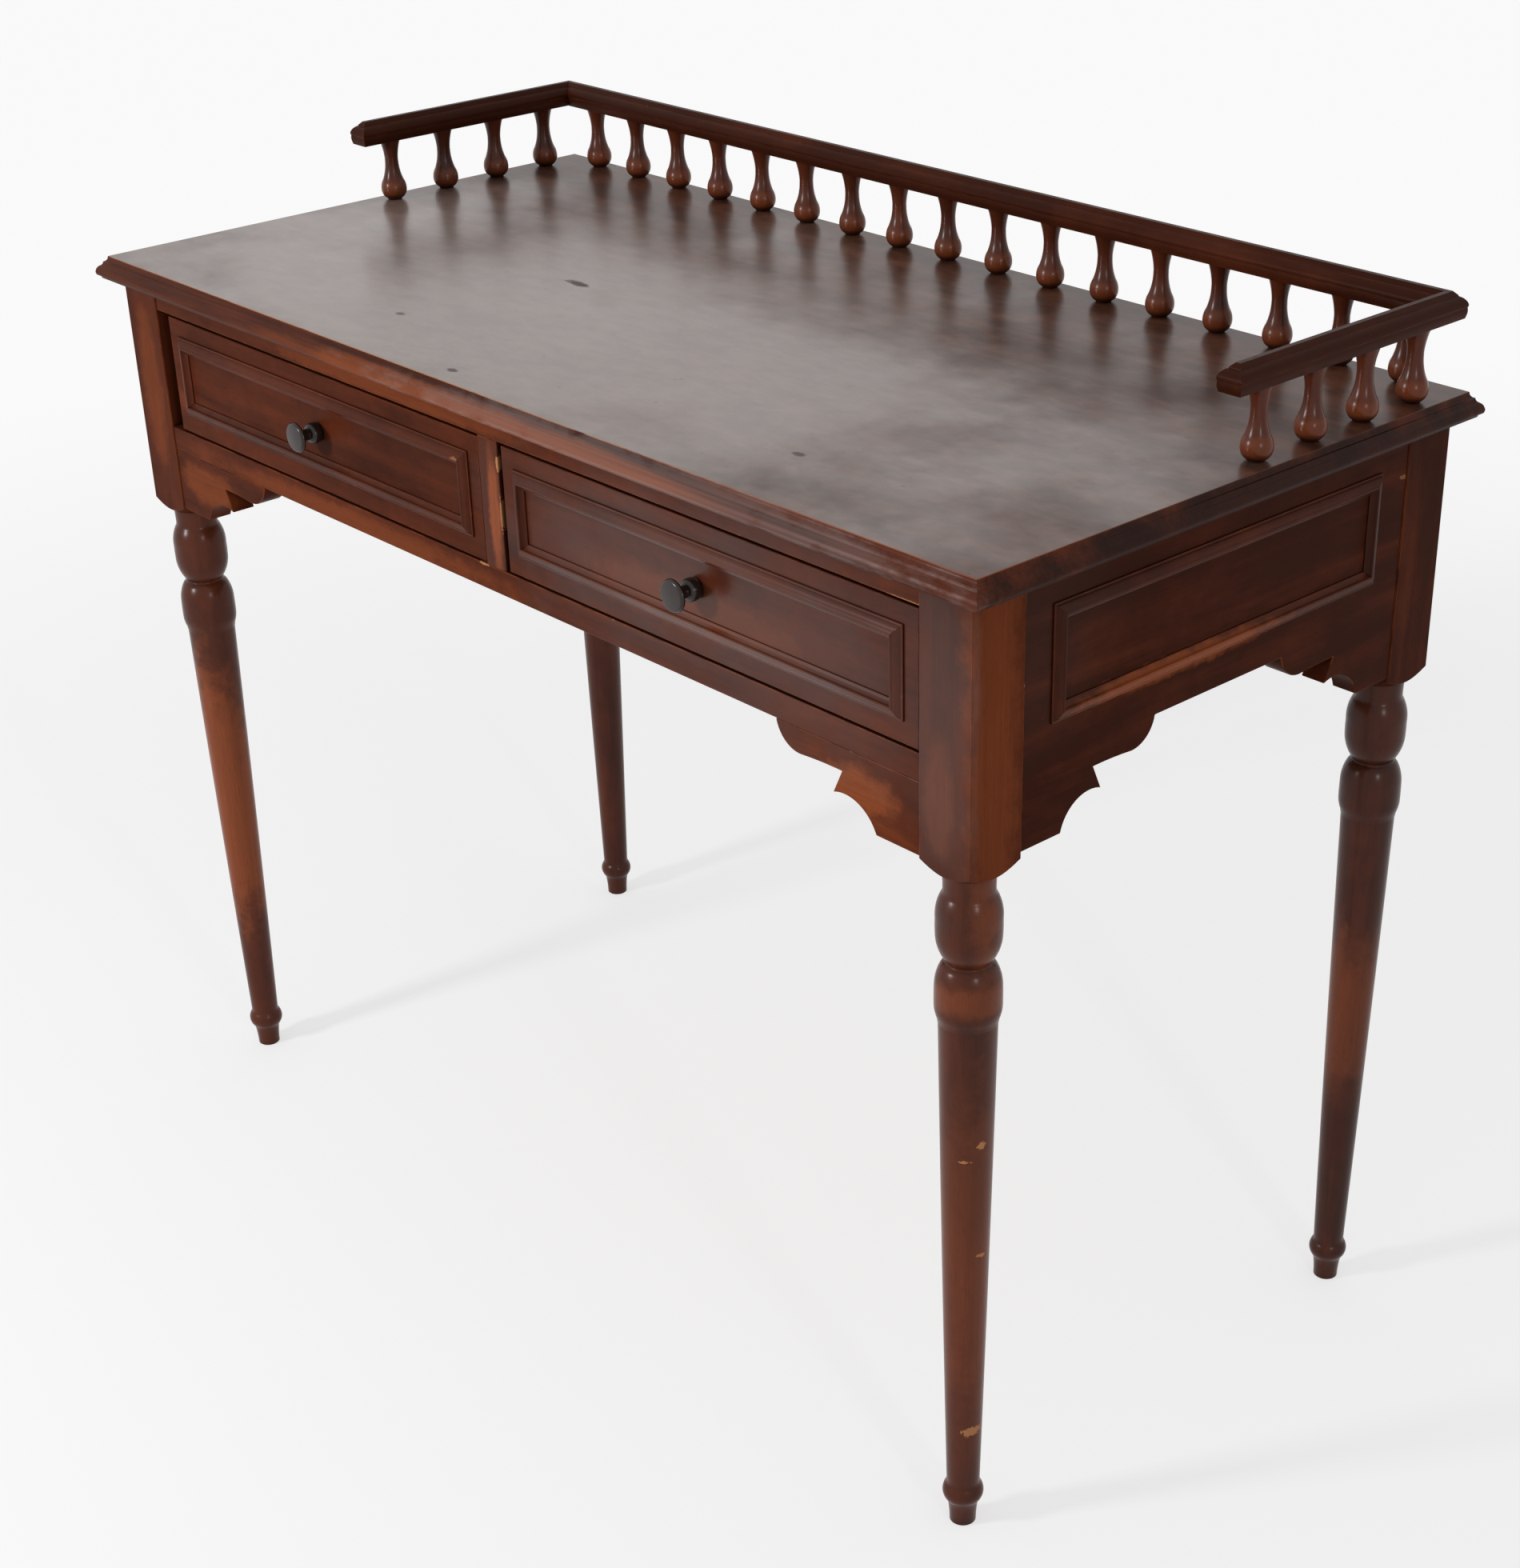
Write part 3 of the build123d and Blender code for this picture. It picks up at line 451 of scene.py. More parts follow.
def top_wood(name, grain):
    """Brown board with dents and a rubbed edge, under varnish that is hazed but by the gallery; the
    pale haze is partly a painted sheen, and the quirks and the right end get painted shade.
    """
    look = bpy.context.scene.desk_finish
    finish = Finish(name)
    figure = finish.noise(finish.stretched(grain, 7), 34 * MM, 5, 0.55, 0.6)
    fibres = finish.noise(finish.stretched(grain, 40), 3 * MM, 3, 0.6)
    mottle = finish.noise(finish.stretched(grain, 2), 14 * MM, 4, 0.65)
    clouds = finish.noise(finish.place, 120 * MM, 4, 0.6)
    # The cloudy patch's pale colour is partly a painted sheen.
    cloudy = finish.patch(*TOP_PLACES["cloudy varnish"], (clouds - 0.5) * 1.2, 0.75)
    haze = cloudy * (0.55 + (clouds * 0.6 + mottle * 0.5).between(0.36, 0.74) * 0.36)
    streaked = (figure * 0.5 + mottle * 0.5).between(0.38, 0.68)
    colour = finish.mix(streaked, look.top_dark, look.top_warm)
    colour = finish.mix(haze, colour, look.top_haze_and_sheen)
    specks = finish.noise(finish.stretched(grain, 2.5), 5 * MM, 3, 0.6).between(0.70, 0.78)
    ragged = (mottle - 0.5) * 1.6
    dents = finish.patches(TOP_DENTS.values(), ragged, 0.5).most(specks * 0.4)
    colour = finish.mix(dents, colour, look.glaze_and_shade)
    moulded = finish.mark("moulded")
    grained = (figure * 0.7 + fibres * 0.3).between(0.36, 0.66)
    streaks = finish.mix(grained, look.stain_dark, look.stain_mid)
    shaded = finish.patch(*TOP_PLACES["shaded end"], (figure - 0.5) * 1.2)
    streaks = finish.mix(shaded * 0.75, streaks, look.glaze_and_shade)
    rubbed = finish.patches([RUBBED["x"]["front edge of the top"]], (figure - 0.5) * 2.0)
    streaks = finish.mix(rubbed * (0.55 + fibres * 0.5), streaks, look.stain_worn)
    # Painted shade in the moulding's quirks.
    quirk_shade = finish.corners(CORNER_SHADE_REACH / 2).between(0.1, 0.6)
    streaks = finish.mix(quirk_shade * 0.9, streaks, look.glaze_and_shade)
    colour = finish.mix(moulded, colour, streaks)
    patchy = finish.noise(finish.place, 30 * MM, 3, 0.6).between(0.26, 0.46)
    edge = finish.mark("worn_edge") * patchy
    handled = finish.patch(*TOP_PLACES["handled edge"], ragged * 0.3, 0.6)
    colour = finish.mix(edge * (0.15 + handled * 0.65), colour, look.stain_worn)
    bare = edge * finish.patch(*TOP_PLACES["bare edge"], ragged)
    colour = finish.mix(bare * 0.6, colour, look.bare_wood)
    finish.set(base_color=colour, specular_ior_level=0.03)
    finish.set(roughness=0.30 + mottle * 0.10 + haze * 0.10)
    shiny = finish.patch(*TOP_PLACES["shiny nose"], ragged, 0.6) * 0.8
    varnish = (cloudy * 0.60 + 0.40) * (1 - moulded) * (1 - dents) + (shiny + 0.10) * moulded
    finish.set(coat_weight=varnish, coat_roughness=0.24)
    finish.set(normal=finish.bump(fibres * 0.3 + mottle * 0.6 - dents * 2.0, BUMP_DEPTH, 0.7))
    return finish.material


def ebonised_wood(name, grain):
    """Black turned wood with a satin gloss, a little brown where it is rubbed."""
    look = bpy.context.scene.desk_finish
    finish = Finish(name)
    rings = finish.noise(finish.stretched(grain, 6), 4 * MM, 3, 0.5)
    rubbed = finish.noise(finish.place, 9 * MM, 3, 0.6).between(0.60, 0.80)
    colour = finish.mix(rubbed * 0.4, look.ebony, look.stain_dark)
    finish.set(base_color=colour, roughness=0.22 + rings * 0.14, specular_ior_level=0.2)
    finish.set(coat_weight=0.35, coat_roughness=0.14)
    finish.set(normal=finish.bump(rings, 0.05 * MM, 0.6))
    return finish.material


def lining_wood(name, grain):
    """Planed pine without varnish, greyed a little by age, with painted shade in the corners."""
    look = bpy.context.scene.desk_finish
    finish = Finish(name)
    figure = finish.noise(finish.stretched(grain, 18), 14 * MM, 4, 0.5, 0.6)
    lines = finish.noise(finish.stretched(grain, 60), 2 * MM, 3, 0.55)
    age = finish.noise(finish.place, 60 * MM, 3, 0.6)
    grained = (figure * 0.6 + lines * 0.4).between(0.40, 0.64)
    colour = finish.mix(grained, look.lining_light, look.lining_dark)
    colour = finish.mix(age.between(0.45, 0.8) * 0.35, colour, look.lining_dark)
    # Painted shade in the drawers' corners.
    colour = finish.mix(finish.corners(CORNER_SHADE_REACH).between(0.35, 0.9) * 0.5, colour, look.glaze_and_shade)
    finish.set(base_color=colour, roughness=0.62 + lines * 0.15, specular_ior_level=0.3)
    finish.set(normal=finish.bump(lines, BUMP_DEPTH, 0.8))
    return finish.material


MAKERS = {
    "stained_wood": stained_wood,
    "moulding_wood": lambda name, grain: stained_wood(name, grain, wear=0.35, gloss=0.03, coat=0.18),
    "gallery_wood": lambda name, grain: stained_wood(name, grain, wear=0.40, gloss=0.03, coat=0.06),
    "top_wood": top_wood,
    "ebonised_wood": ebonised_wood,
    "drawer_wood": lining_wood,
}

# How much more a piece is rubbed than its neighbours, and so lighter; the right side's apron and
# mouldings are made darker as painted shade. Pieces that aren't named have 0.
PIECE_WEAR_AND_SHADE = {
    "side_apron_right": -1.2, "side_apron_left": -0.6, "side_moulding_right_top": -1.0,
    "side_moulding_right_front": -1.0, "side_moulding_right_back": -1.0, "leg_back_right": -1.0,
    "front_top_rail": 0.6, "front_lower_rail": 0.4, "front_bracket_right": 0.5, "drawer_divider": 0.5,
    "gallery_rail_back": -1.5, "gallery_rail_right": -1.8, "gallery_rail_left": -1.8,
    "gallery_spindles_back": 0.4, "gallery_spindles_right": 0.6, "gallery_spindles_left": -0.3,
}


def wood_for(node):
    """The finish of a node's slot, with its grain along the longest side, or up a row of spindles."""
    low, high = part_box(node)
    size = high - low
    grain = 2 if "spindles" in node else max(range(3), key=lambda axis: size[axis])
    name = f"{SLOTS[node]}_{'xyz'[grain]}"
    return bpy.data.materials.get(name) or MAKERS[SLOTS[node]](name, grain)


# ---------------------------------------------------------------- shape helpers


def face_marks(bm, name):
    """The layer of numbers on the faces that a finish reads by this name."""
    return bm.faces.layers.float.get(name) or bm.faces.layers.float.new(name)


def cad_copy(node):
    """A bmesh of a node's solids, with their flat faces made whole."""
    bm = bmesh.new()
    bm.from_mesh(frame["nodes"][node].data)
    bmesh.ops.remove_doubles(bm, verts=bm.verts, dist=MERGE_DISTANCE)
    bmesh.ops.dissolve_limit(bm, angle_limit=math.radians(1), verts=bm.verts, edges=bm.edges)
    return bm


def ease(bm, width, sharpest=35, edges=None, wear=1.0):
    """Round over edges that are sharper than an angle in degrees, and mark the new faces as worn."""
    worn = face_marks(bm, "worn_edge")
    sharp = [edge for edge in edges or bm.edges
             if len(edge.link_faces) == 2 and edge.calc_face_angle() > math.radians(sharpest)]
    eased = bmesh.ops.bevel(
        bm, geom=sharp, offset=width, offset_type="OFFSET", affect="EDGES", segments=2, profile=0.5,
        clamp_overlap=True, material=-1,
    )
    for face in eased["faces"]:
        face[worn] = wear


def bow(start, end, bulge, steps):
    """Points of a round stretch of a section after start, which stands out by bulge half way along."""
    start, chord = Vector(start), Vector(end) - Vector(start)
    out = Vector((chord.y, -chord.x)).normalized()
    shares = [step / steps for step in range(1, steps + 1)]
    return [tuple(start + chord * t + out * bulge * 4 * t * (1 - t)) for t in shares]


def turn_on_lathe(bm, profile, foot, axis, steps):
    """Add a turned shape from (radius, height) points in millimetres along an axis from its foot."""
    mark = face_marks(bm, "turned")
    side = X if abs(axis.x) < 0.5 else Y
    verts = [bm.verts.new(foot + side * radius * MM + axis * height * MM) for radius, height in profile]
    edges = [bm.edges.new(pair) for pair in pairwise(verts)]
    before = set(bm.faces)
    bmesh.ops.spin(
        bm, geom=verts + edges, cent=foot, axis=axis, angle=2 * math.pi, steps=steps, use_merge=True,
    )
    corners = dict.fromkeys(vert for face in bm.faces if face not in before for vert in face.verts)
    bmesh.ops.remove_doubles(bm, verts=list(corners), dist=MERGE_DISTANCE)
    turned = [face for face in bm.faces if face not in before]
    bmesh.ops.recalc_face_normals(bm, faces=turned)
    for face in turned:
        face[mark] = 1
    return turned


def mould_board(bm, low, high, section):
    """Add a board with a moulded edge all round, from (inset, depth below its top) in millimetres."""
    corners = (
        (low.x, low.y, 1, 1), (high.x, low.y, -1, 1), (high.x, high.y, -1, -1), (low.x, high.y, 1, -1),
    )
    rings = []
    for inset, depth in section:
        z = high.z - depth * MM
        ring = []
        for x, y, in_x, in_y in corners:
            ring.append(bm.verts.new((x + in_x * inset * MM, y + in_y * inset * MM, z)))
        rings.append([bm.edges.new(pair) for pair in pairwise(ring + ring[:1])])
    for upper, lower in pairwise(rings):
        bmesh.ops.bridge_loops(bm, edges=upper + lower)
    for rim in (rings[0], rings[-1]):
        bmesh.ops.contextual_create(bm, geom=rim)
    bmesh.ops.recalc_face_normals(bm, faces=bm.faces)


def cut_off(bm, place, normal):
    """Cut away what lies past a plane, and close the cut."""
    geom = bm.verts[:] + bm.edges[:] + bm.faces[:]
    cut = bmesh.ops.bisect_plane(
        bm, geom=geom, plane_co=place, plane_no=normal, clear_outer=True, dist=CUT_DISTANCE,
    )
    rim = [item for item in cut["geom_cut"] if isinstance(item, bmesh.types.BMEdge)]
    bmesh.ops.contextual_create(bm, geom=rim)


def mitred_strip(section, centre, out, up, reach, half_length):
    """One mitred strip of a moulding frame, whose outer edge lies along a side of the frame.

    out points out of the wood, up from the frame's centre to the strip, and reach is how far that is.
    """
    along = up.cross(out)
    edge = centre + up * reach
    strip = bmesh.new()
    mitres = []
    for sign in (-1, 1):
        corner = edge + along * sign * half_length
        inward = (up + along * sign) * MM
        mitre = [strip.verts.new(corner - inward * u + out * v * MM) for u, v in section]
        mitres.append([strip.edges.new(pair) for pair in pairwise(mitre + mitre[:1])])
    bmesh.ops.bridge_loops(strip, edges=mitres[0] + mitres[1])
    for mitre in mitres:
        bmesh.ops.contextual_create(strip, geom=mitre)
    bmesh.ops.recalc_face_normals(strip, faces=strip.faces)
    return strip


def make_piece(bm, name, nodes, sharp_from=SHARP_BOARD):
    """Turn a bmesh into a finished piece that stands for its nodes and moves with their body."""
    for layer in ("worn_edge", "moulded", "turned"):
        face_marks(bm, layer)
    if not bm.faces.layers.float.get("board_tone"):
        tone = face_marks(bm, "board_tone")
        shade = Random(name).random()
        for face in bm.faces:
            face[tone] = shade
    # This mark carries wear, and painted shade on the right side's apron and mouldings.
    wear = face_marks(bm, "board_wear_and_shade")
    for face in bm.faces:
        face[wear] = PIECE_WEAR_AND_SHADE.get(nodes[0], 0)
        face.smooth = True
    mesh = bpy.data.meshes.new(name)
    bm.to_mesh(mesh)
    bm.free()
    mesh.set_sharp_from_angle(angle=math.radians(sharp_from))
    mesh.materials.append(wood_for(nodes[0]))
    piece = bpy.data.objects.new(name, mesh)
    bpy.context.scene.collection.objects.link(piece)
    piece.modifiers.new("even_shading", "WEIGHTED_NORMAL").keep_sharp = True
    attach(piece, frame["nodes"][nodes[0]]["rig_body"])
    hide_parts(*nodes)


def eased_board(node, width):
    """Add a copy of a CAD board with its arrises rounded over."""
    bm = cad_copy(node)
    ease(bm, width)
    make_piece(bm, f"{node}_eased", [node])


# ---------------------------------------------------------------- sections


def top_section():
    """The top's edge as (inset, depth): arris, cove, small flat, ogee and nose."""
    points = [(8.4, 0), (8.4, 0.9)]
    points += bow((8.4, 0.9), (6.0, 4.3), 0.57, 6)
    points += [(5.3, 4.5)]
    points += bow((5.3, 4.5), (3.4, 7.6), 0.47, 5)
    points += bow((3.4, 7.6), (0.5, 11.0), -0.53, 6)
    points += bow((0.5, 11.0), (0.7, 15.4), -0.6, 8)
    return points + [(3.0, 15.8), (3.4, 18)]


def rail_section():
    """The gallery rail's edge as (inset, depth)."""
    points = [(8.2, 0), (5.4, 2.7), (5.2, 3.6)]
    points += bow((5.2, 3.6), (0, 9.0), -0.9, 7)
    points += [(0, 10.6), (0.45, 11.2)]
    points += bow((0.45, 11.2), (0.8, 17.4), -0.4, 6)
    return points + [(1.2, 19)]


def strip_section():
    """A moulding strip as (distance in from its outer edge, height above the wood)."""
    points = [(0, 0), (0, 1.3), (1.1, 1.3)]
    points += bow((1.1, 1.3), (6.4, 4.4), -0.8, 6)
    points += [(7.2, 5), (8.4, 5), (8.8, 3.8)]
    points += bow((8.8, 3.8), (12.5, 1.0), 0.55, 6)
    return points + [(12.5, 0)]


def leg_profile():
    """A leg's turned part as (radius, height): foot, ankle bead, taper, cup, waist, bulb and neck."""
    points = [(0, 0), (8.9, 0), (9.6, 0.7)]
    points += bow((9.6, 0.7), (11.2, 19.3), -0.35, 4)
    points += bow((11.2, 19.3), (11.9, 35.8), 3.4, 12)
    points += [(12.0, 38.5)]
    points += bow((12.0, 38.5), (19.9, 425.5), 0.3, 6)
    points += [(20.3, 426.2), (20.6, 428.5)]
    points += bow((20.6, 428.5), (22.6, 437.0), 0.35, 5)
    points += bow((22.6, 437.0), (22.5, 453.3), 0.12, 4)
    points += bow((22.5, 453.3), (19.0, 466.8), 0.75, 8)
    points += bow((19.0, 466.8), (15.6, 470.3), 0.35, 4)
    points += [(15.5, 471.0), (15.7, 472.0)]
    points += bow((15.7, 472.0), (22.1, 492.0), 1.7, 10)
    points += [(22.2, 497.0), (22.1, 502.0)]
    points += bow((22.1, 502.0), (17.4, 521.5), 1.6, 10)
    points += [(17.3, 524.0)]
    points += bow((17.3, 524.0), (17.8, 535.5), -0.15, 3)
    return points + [(17.8, 538), (0, 538)]


def knob_profile():
    """A knob as (radius, distance out of the drawer): spigot, bead, neck and a button head."""
    points = [(0, -19.5), (4.9, -19.5), (4.9, 0), (6.6, 0)]
    points += bow((6.6, 0), (8.1, 4.4), 0.45, 5)
    points += bow((8.1, 4.4), (4.6, 10.4), 1.3, 8)
    points += bow((4.6, 10.4), (4.7, 15.2), -0.35, 6)
    points += bow((4.7, 15.2), (11.5, 19.2), -0.5, 7)
    points += bow((11.5, 19.2), (11.2, 21.2), 0.35, 5)
    points += bow((11.2, 21.2), (9.9, 22.3), 0.25, 4)
    points += bow((9.9, 22.3), (0, 22.8), 0.1, 4)
    return points[:-1] + [(0, 22.8)]


def spindle_profile(height):
    """A gallery spindle as (radius, height): a low belly under a slim neck that flares to the rail."""
    points = [(0, 0), (5.8, 0), (6.3, 0.8)]
    points += bow((6.3, 0.8), (11.0, 8.8), 1.3, 8)
    points += bow((11.0, 8.8), (8.8, 17.0), 0.62, 8)
    points += bow((8.8, 17.0), (5.8, 31.0), -0.62, 8)
    points += [(5.7, 35)]
    points += bow((5.7, 35), (8.8, height), -0.55, 8)
    return points + [(0, height)]


# ---------------------------------------------------------------- pieces


# A face of the top is its flat upper face where its normal points up by this much or more.
FLAT_NORMAL = 0.99
SHOULDER_HEIGHT = 535.5 * MM
CUT_ABOVE_SHOULDER = 0.1 * MM
DRAWER_ARRIS_SHARE = 0.6
RAIL_PAST_MITRE = 50 * MM
BACK_SPINDLES, BACK_SPINDLE_STEP = 17, 55.6 * MM
SIDE_SPINDLES, SIDE_SPINDLE_STEP = 4, 55 * MM
# How widely the tones of the spindles are spread. Other pieces have 1.
SPINDLE_TONES = 3


class DESK_OT_top(bpy.types.Operator):
    """The top board with its moulded edge"""

    bl_idname = "desk.top"
    bl_label = "Top board"

    def execute(self, context):
        shape = context.scene.desk_shape
        low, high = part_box("top_board")
        bm = bmesh.new()
        mould_board(bm, low, high, top_section())
        moulded = face_marks(bm, "moulded")
        for face in bm.faces:
            face[moulded] = face.normal.z < FLAT_NORMAL
        upper = high.z - MERGE_DISTANCE
        rim = [edge for edge in bm.edges if all(vert.co.z > upper for vert in edge.verts)]
        ease(bm, shape.top_arris, sharpest=50, edges=rim)
        ease(bm, shape.moulding_arris, sharpest=45, wear=0)
        make_piece(bm, "top_board_moulded", ["top_board"], SHARP_MOULDED)
        return {"FINISHED"}


class DESK_OT_legs(bpy.types.Operator):
    """The turned legs under their square posts"""

    bl_idname = "desk.legs"
    bl_label = "Legs"

    def execute(self, context):
        shape = context.scene.desk_shape
        for end in ("front", "back"):
            for side in SIDES:
                node = f"leg_{end}_{side}"
                low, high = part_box(node)
                bm = cad_copy(node)
                cut_off(bm, Z * (SHOULDER_HEIGHT + CUT_ABOVE_SHOULDER), -Z)
                ease(bm, shape.arris)
                foot = Vector(((low.x + high.x) / 2, (low.y + high.y) / 2, 0))
                turn_on_lathe(bm, leg_profile(), foot, Z, shape.turning_steps)
                make_piece(bm, f"{node}_turned", [node], SHARP_TURNED)
        return {"FINISHED"}


class DESK_OT_carcass(bpy.types.Operator):
    """Rails, brackets, divider, aprons and back board"""

    bl_idname = "desk.carcass"
    bl_label = "Carcass"

    def execute(self, context):
        names = ["front_top_rail", "front_lower_rail", "drawer_divider", "back_board"]
        names += [f"{kind}_{side}" for kind in ("front_bracket", "side_apron") for side in SIDES]
        for node in names:
            eased_board(node, context.scene.desk_shape.arris)
        return {"FINISHED"}


class DESK_OT_mouldings(bpy.types.Operator):
    """Mitred moulding frames on the drawers and the side aprons"""

    bl_idname = "desk.mouldings"
    bl_label = "Mouldings"

    def execute(self, context):
        frames = {f"drawer_{side}_moulding": (-Y, {"left": -X, "right": X}) for side in SIDES}
        for side, sign in SIDES.items():
            frames[f"side_moulding_{side}"] = (X * sign, {"front": -Y, "back": Y})
        for stem, (out, ends) in frames.items():
            directions = {"top": Z, "bottom": -Z} | ends
            boxes = [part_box(f"{stem}_{name}") for name in directions]
            low = Vector([min(box[0][axis] for box in boxes) for axis in range(3)])
            high = Vector([max(box[1][axis] for box in boxes) for axis in range(3)])
            half = (high - low) / 2
            seat = (low + high) / 2 - out * abs(half.dot(out))
            for name, up in directions.items():
                half_length = abs(half.dot(up.cross(out)))
                strip = mitred_strip(strip_section(), seat, out, up, abs(half.dot(up)), half_length)
                ease(strip, context.scene.desk_shape.moulding_arris, sharpest=40, wear=0.3)
                make_piece(strip, f"{stem}_{name}_cut", [f"{stem}_{name}"], SHARP_STRIP)
        return {"FINISHED"}


class DESK_OT_drawers(bpy.types.Operator):
    """Dovetailed drawer boxes"""

    bl_idname = "desk.drawers"
    bl_label = "Drawers"

    def execute(self, context):
        width = DRAWER_ARRIS_SHARE * context.scene.desk_shape.arris
        for side in SIDES:
            for part in ("front", "side_left", "side_right", "back", "bottom"):
                eased_board(f"drawer_{side}_{part}", width)
        return {"FINISHED"}


class DESK_OT_knobs(bpy.types.Operator):
    """Turned knobs of ebonised wood"""

    bl_idname = "desk.knobs"
    bl_label = "Knobs"

    def execute(self, context):
        for side in SIDES:
            node = f"drawer_{side}_knob"
            low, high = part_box(node)
            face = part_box(f"drawer_{side}_front")[0].y
            seat = Vector(((low.x + high.x) / 2, face, (low.z + high.z) / 2))
            bm = bmesh.new()
            turn_on_lathe(bm, knob_profile(), seat, -Y, context.scene.desk_shape.turning_steps)
            make_piece(bm, f"{node}_turned", [node], SHARP_SMALL_TURNED)
        return {"FINISHED"}


class DESK_OT_gallery(bpy.types.Operator):
    """Gallery rails and their rows of spindles"""

    bl_idname = "desk.gallery"
    bl_label = "Gallery"

    def execute(self, context):
        shape = context.scene.desk_shape
        self.add_rails(shape)
        self.add_row(shape, "back", X * BACK_SPINDLE_STEP, BACK_SPINDLES)
        for side in SIDES:
            self.add_row(shape, side, Y * SIDE_SPINDLE_STEP, SIDE_SPINDLES)
        return {"FINISHED"}

    def add_row(self, shape, name, step, count):
        low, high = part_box(f"gallery_spindles_{name}")
        middle = Vector(((low.x + high.x) / 2, (low.y + high.y) / 2, low.z))
        profile = spindle_profile((high.z - low.z) / MM)
        dice = Random(name)
        bm = bmesh.new()
        tone = face_marks(bm, "board_tone")
        for i in range(count):
            shade = dice.random() * SPINDLE_TONES
            foot = middle + step * (i - (count - 1) / 2)
            for face in turn_on_lathe(bm, profile, foot, Z, shape.spindle_steps):
                face[tone] = shade
        node = f"gallery_spindles_{name}"
        make_piece(bm, f"{node}_turned", [node], SHARP_SMALL_TURNED)

    def add_rails(self, shape):
        low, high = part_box("gallery_rail_back")
        back = bmesh.new()
        mould_board(back, low - X * RAIL_PAST_MITRE, high + X * RAIL_PAST_MITRE, rail_section())
        for side, sign in SIDES.items():
            rail_low, rail_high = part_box(f"gallery_rail_{side}")
            corner = Vector((high.x if sign > 0 else low.x, high.y, 0))
            mitre = Vector((sign, -1, 0))
            cut_off(back, corner, mitre)
            rail = bmesh.new()
            mould_board(rail, rail_low, rail_high + Y * RAIL_PAST_MITRE, rail_section())
            cut_off(rail, corner, -mitre)
            ease(rail, shape.moulding_arris, sharpest=45, wear=0.4)
            make_piece(rail, f"gallery_rail_{side}_moulded", [f"gallery_rail_{side}"], SHARP_MOULDED)
        ease(back, shape.moulding_arris, sharpest=45, wear=0.4)
        make_piece(back, "gallery_rail_back_moulded", ["gallery_rail_back"], SHARP_MOULDED)


class DESK_OT_inner_parts(bpy.types.Operator):
    """Runners, guides, kickers, stops and glue blocks behind the drawers"""

    bl_idname = "desk.inner_parts"
    bl_label = "Inner parts"

    def execute(self, context):
        names = [f"drawer_{kind}_{place}" for kind in ("runner", "guide", "kicker")
                 for place in ("left", "centre", "right")]
        for node in names + ["drawer_stops", "glue_blocks"]:
            eased_board(node, context.scene.desk_shape.arris)
        return {"FINISHED"}


FLOOR_REACH = 14
# The floor's glow changes between these distances from the desk's middle, in metres.
GLOW_EDGE = (0.9, 2.6)
# Each lamp's width and place, in metres.
LAMPS = {
    "front_lamp": (0.34, (-0.75, -2.35, 1.38)),
    "side_lamp": (0.20, (2.75, -0.95, 1.32)),
}
LAMP_TARGET = Vector((0, 0, 0.55))


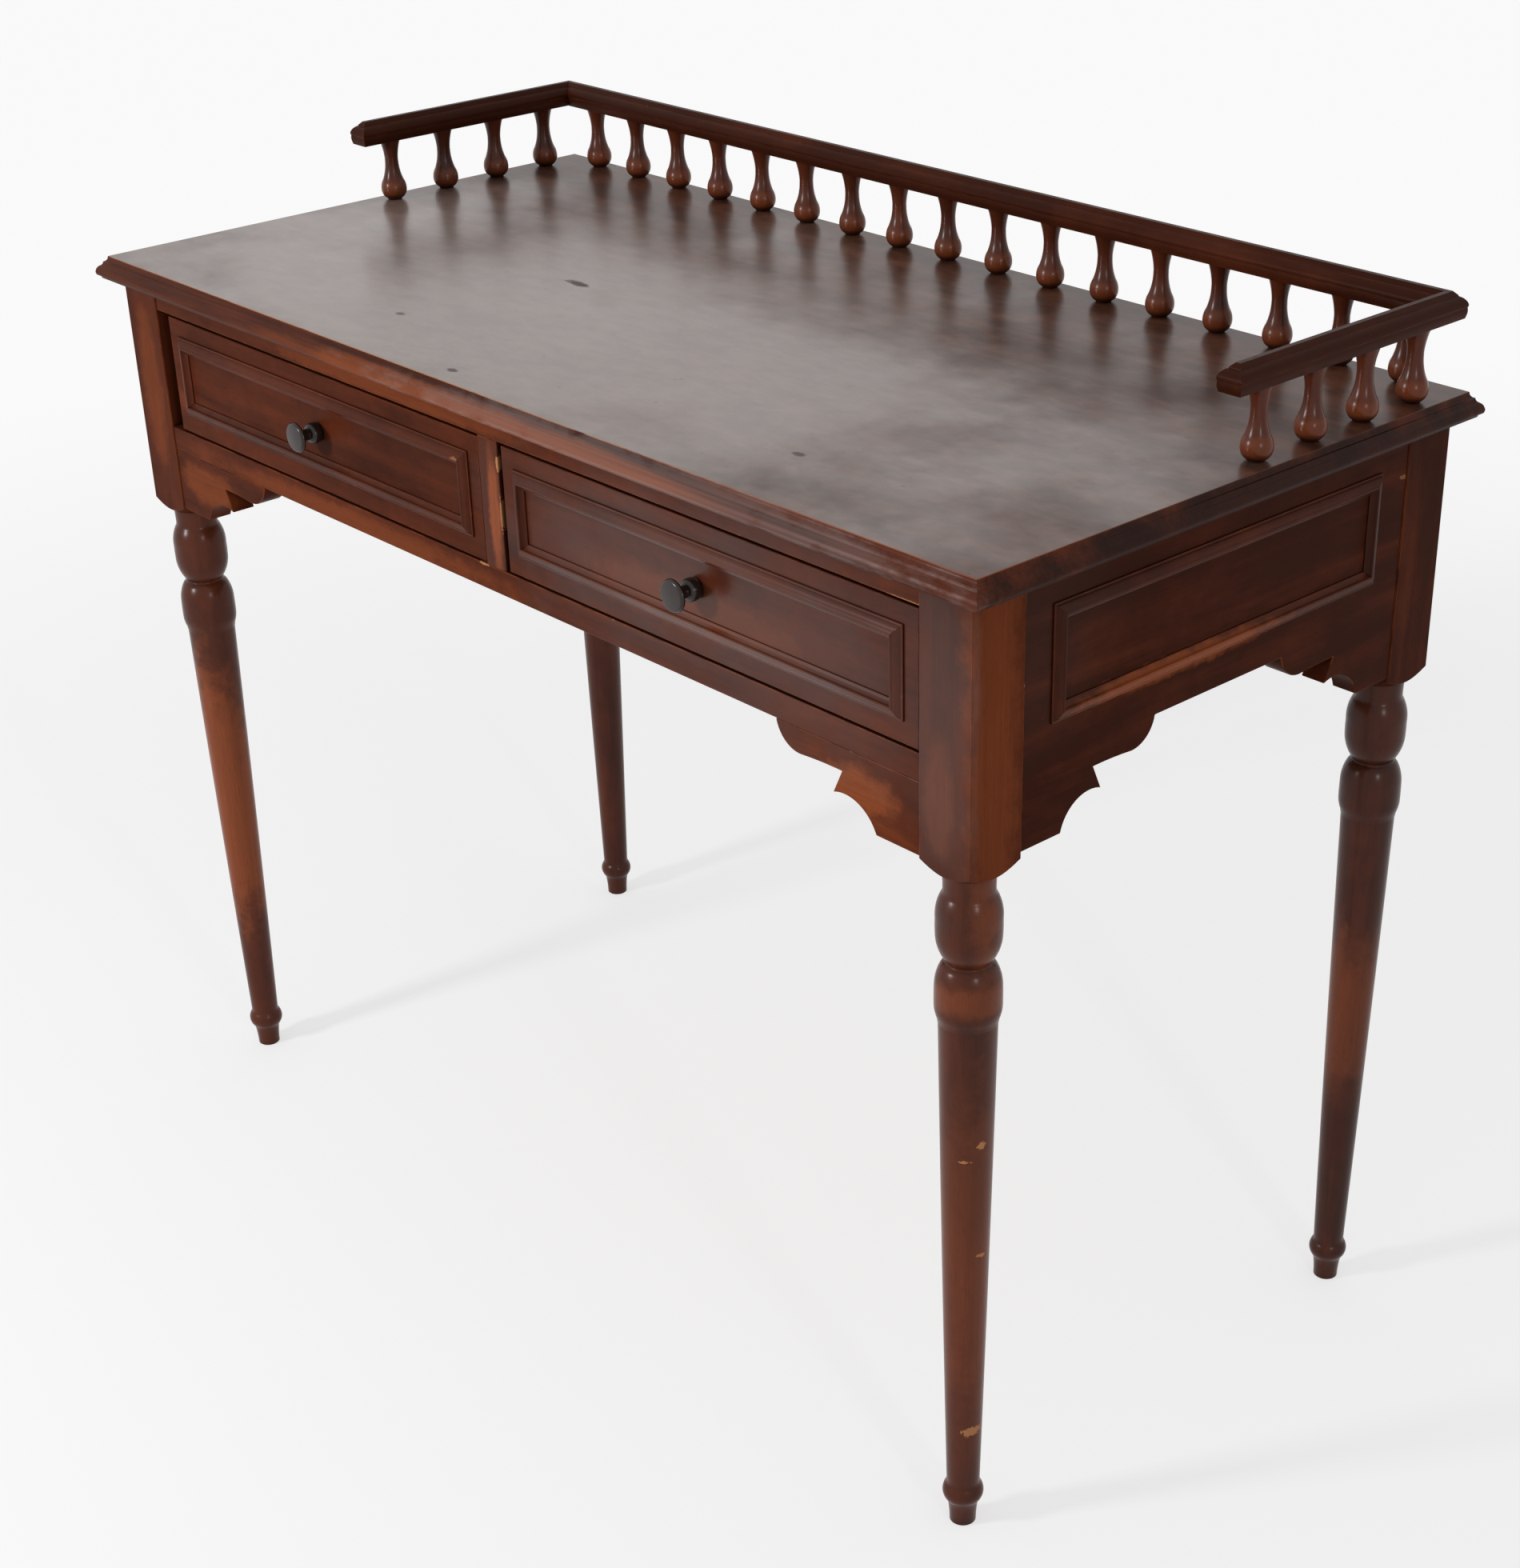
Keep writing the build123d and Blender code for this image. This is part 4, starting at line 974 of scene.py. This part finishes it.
class DESK_OT_stage(bpy.types.Operator):
    """Pale floor, soft light and the camera"""

    bl_idname = "desk.stage"
    bl_label = "Stage"

    def execute(self, context):
        stage = context.scene.desk_stage
        self.add_floor(context, stage)
        self.add_sky(context, stage)
        self.add_lamp(context, "front_lamp", stage.front_power)
        self.add_lamp(context, "side_lamp", stage.side_power)
        self.add_camera(context, stage)
        return {"FINISHED"}

    def add_floor(self, context, stage):
        bm = bmesh.new()
        bmesh.ops.create_grid(bm, x_segments=1, y_segments=1, size=FLOOR_REACH)
        mesh = bpy.data.meshes.new("floor")
        bm.to_mesh(mesh)
        bm.free()
        floor = bpy.data.objects.new("floor", mesh)
        context.scene.collection.objects.link(floor)
        paper = Finish("floor_paper")
        paper.set(base_color=stage.floor_colour, roughness=0.9, specular_ior_level=0.1)
        white = paper.node("Emission", None, {"Color": (1, 1, 1), "Strength": 1.0})
        shaded = Field(paper, paper.shader.outputs[0])
        near, far = stage.floor_glow
        distance = paper.node("VectorMath", {"operation": "LENGTH"}, {0: paper.here}, "Value")
        glow = distance.between(*GLOW_EDGE) * (far - near) + near
        lifted = paper.node("MixShader", None, {0: paper.seen() * glow, 1: shaded, 2: white})
        paper.feed(paper.tree.nodes["Material Output"].inputs["Surface"], lifted)
        mesh.materials.append(paper.material)

    def add_sky(self, context, stage):
        world = bpy.data.worlds.new("even_sky")
        world.use_nodes = True
        context.scene.world = world
        sky = Tree(world.node_tree)
        background = world.node_tree.nodes["Background"]
        sky.feed(background.inputs["Color"], (1, 1, 1))
        soft = stage.sky_strength
        sky.feed(background.inputs["Strength"], sky.seen() * (1 - soft) + soft)

    def add_lamp(self, context, name, power):
        width, place = LAMPS[name]
        light = bpy.data.lights.new(name, "AREA")
        light.energy = power
        light.size = width
        lamp = bpy.data.objects.new(name, light)
        lamp.location = place
        lamp.rotation_euler = (LAMP_TARGET - lamp.location).to_track_quat("-Z", "Y").to_euler()
        context.scene.collection.objects.link(lamp)

    def add_camera(self, context, stage):
        lens = bpy.data.cameras.new("camera")
        lens.lens = stage.camera_lens
        lens.shift_x, lens.shift_y = stage.camera_shift
        lens.clip_start = 0.05
        camera = bpy.data.objects.new("camera", lens)
        camera.location = stage.camera_place
        camera.rotation_euler = stage.camera_turn
        context.scene.collection.objects.link(camera)
        context.scene.camera = camera
        context.scene.view_settings.view_transform = "Standard"


class DESK_PT_panel(bpy.types.Panel):
    """Buttons for each group of pieces and the settings they read"""

    bl_label = "Sewing desk"
    bl_idname = "DESK_PT_panel"
    bl_space_type = "VIEW_3D"
    bl_region_type = "UI"
    bl_category = "Desk"

    def draw(self, context):
        for settings in SETTINGS:
            group = getattr(context.scene, settings)
            box = self.layout.box()
            for key in group.__annotations__:
                box.prop(group, key)
        for operator in OPERATORS:
            self.layout.operator(operator.bl_idname)


SETTINGS = {"desk_shape": DeskShape, "desk_finish": DeskFinish, "desk_stage": DeskStage}
OPERATORS = (
    DESK_OT_top, DESK_OT_legs, DESK_OT_carcass, DESK_OT_mouldings, DESK_OT_drawers, DESK_OT_knobs,
    DESK_OT_gallery, DESK_OT_inner_parts, DESK_OT_stage,
)


def register():
    for group in (*SETTINGS.values(), *OPERATORS, DESK_PT_panel):
        bpy.utils.register_class(group)
    for name, group in SETTINGS.items():
        setattr(bpy.types.Scene, name, PointerProperty(type=group))


def unregister():
    for name in SETTINGS:
        delattr(bpy.types.Scene, name)
    for group in reversed((*SETTINGS.values(), *OPERATORS, DESK_PT_panel)):
        bpy.utils.unregister_class(group)


def main():
    register()
    bpy.ops.desk.top()
    bpy.ops.desk.legs()
    bpy.ops.desk.carcass()
    bpy.ops.desk.mouldings()
    bpy.ops.desk.drawers()
    bpy.ops.desk.knobs()
    bpy.ops.desk.gallery()
    bpy.ops.desk.inner_parts()
    bpy.ops.desk.stage()


if __name__ == "__main__":
    main()
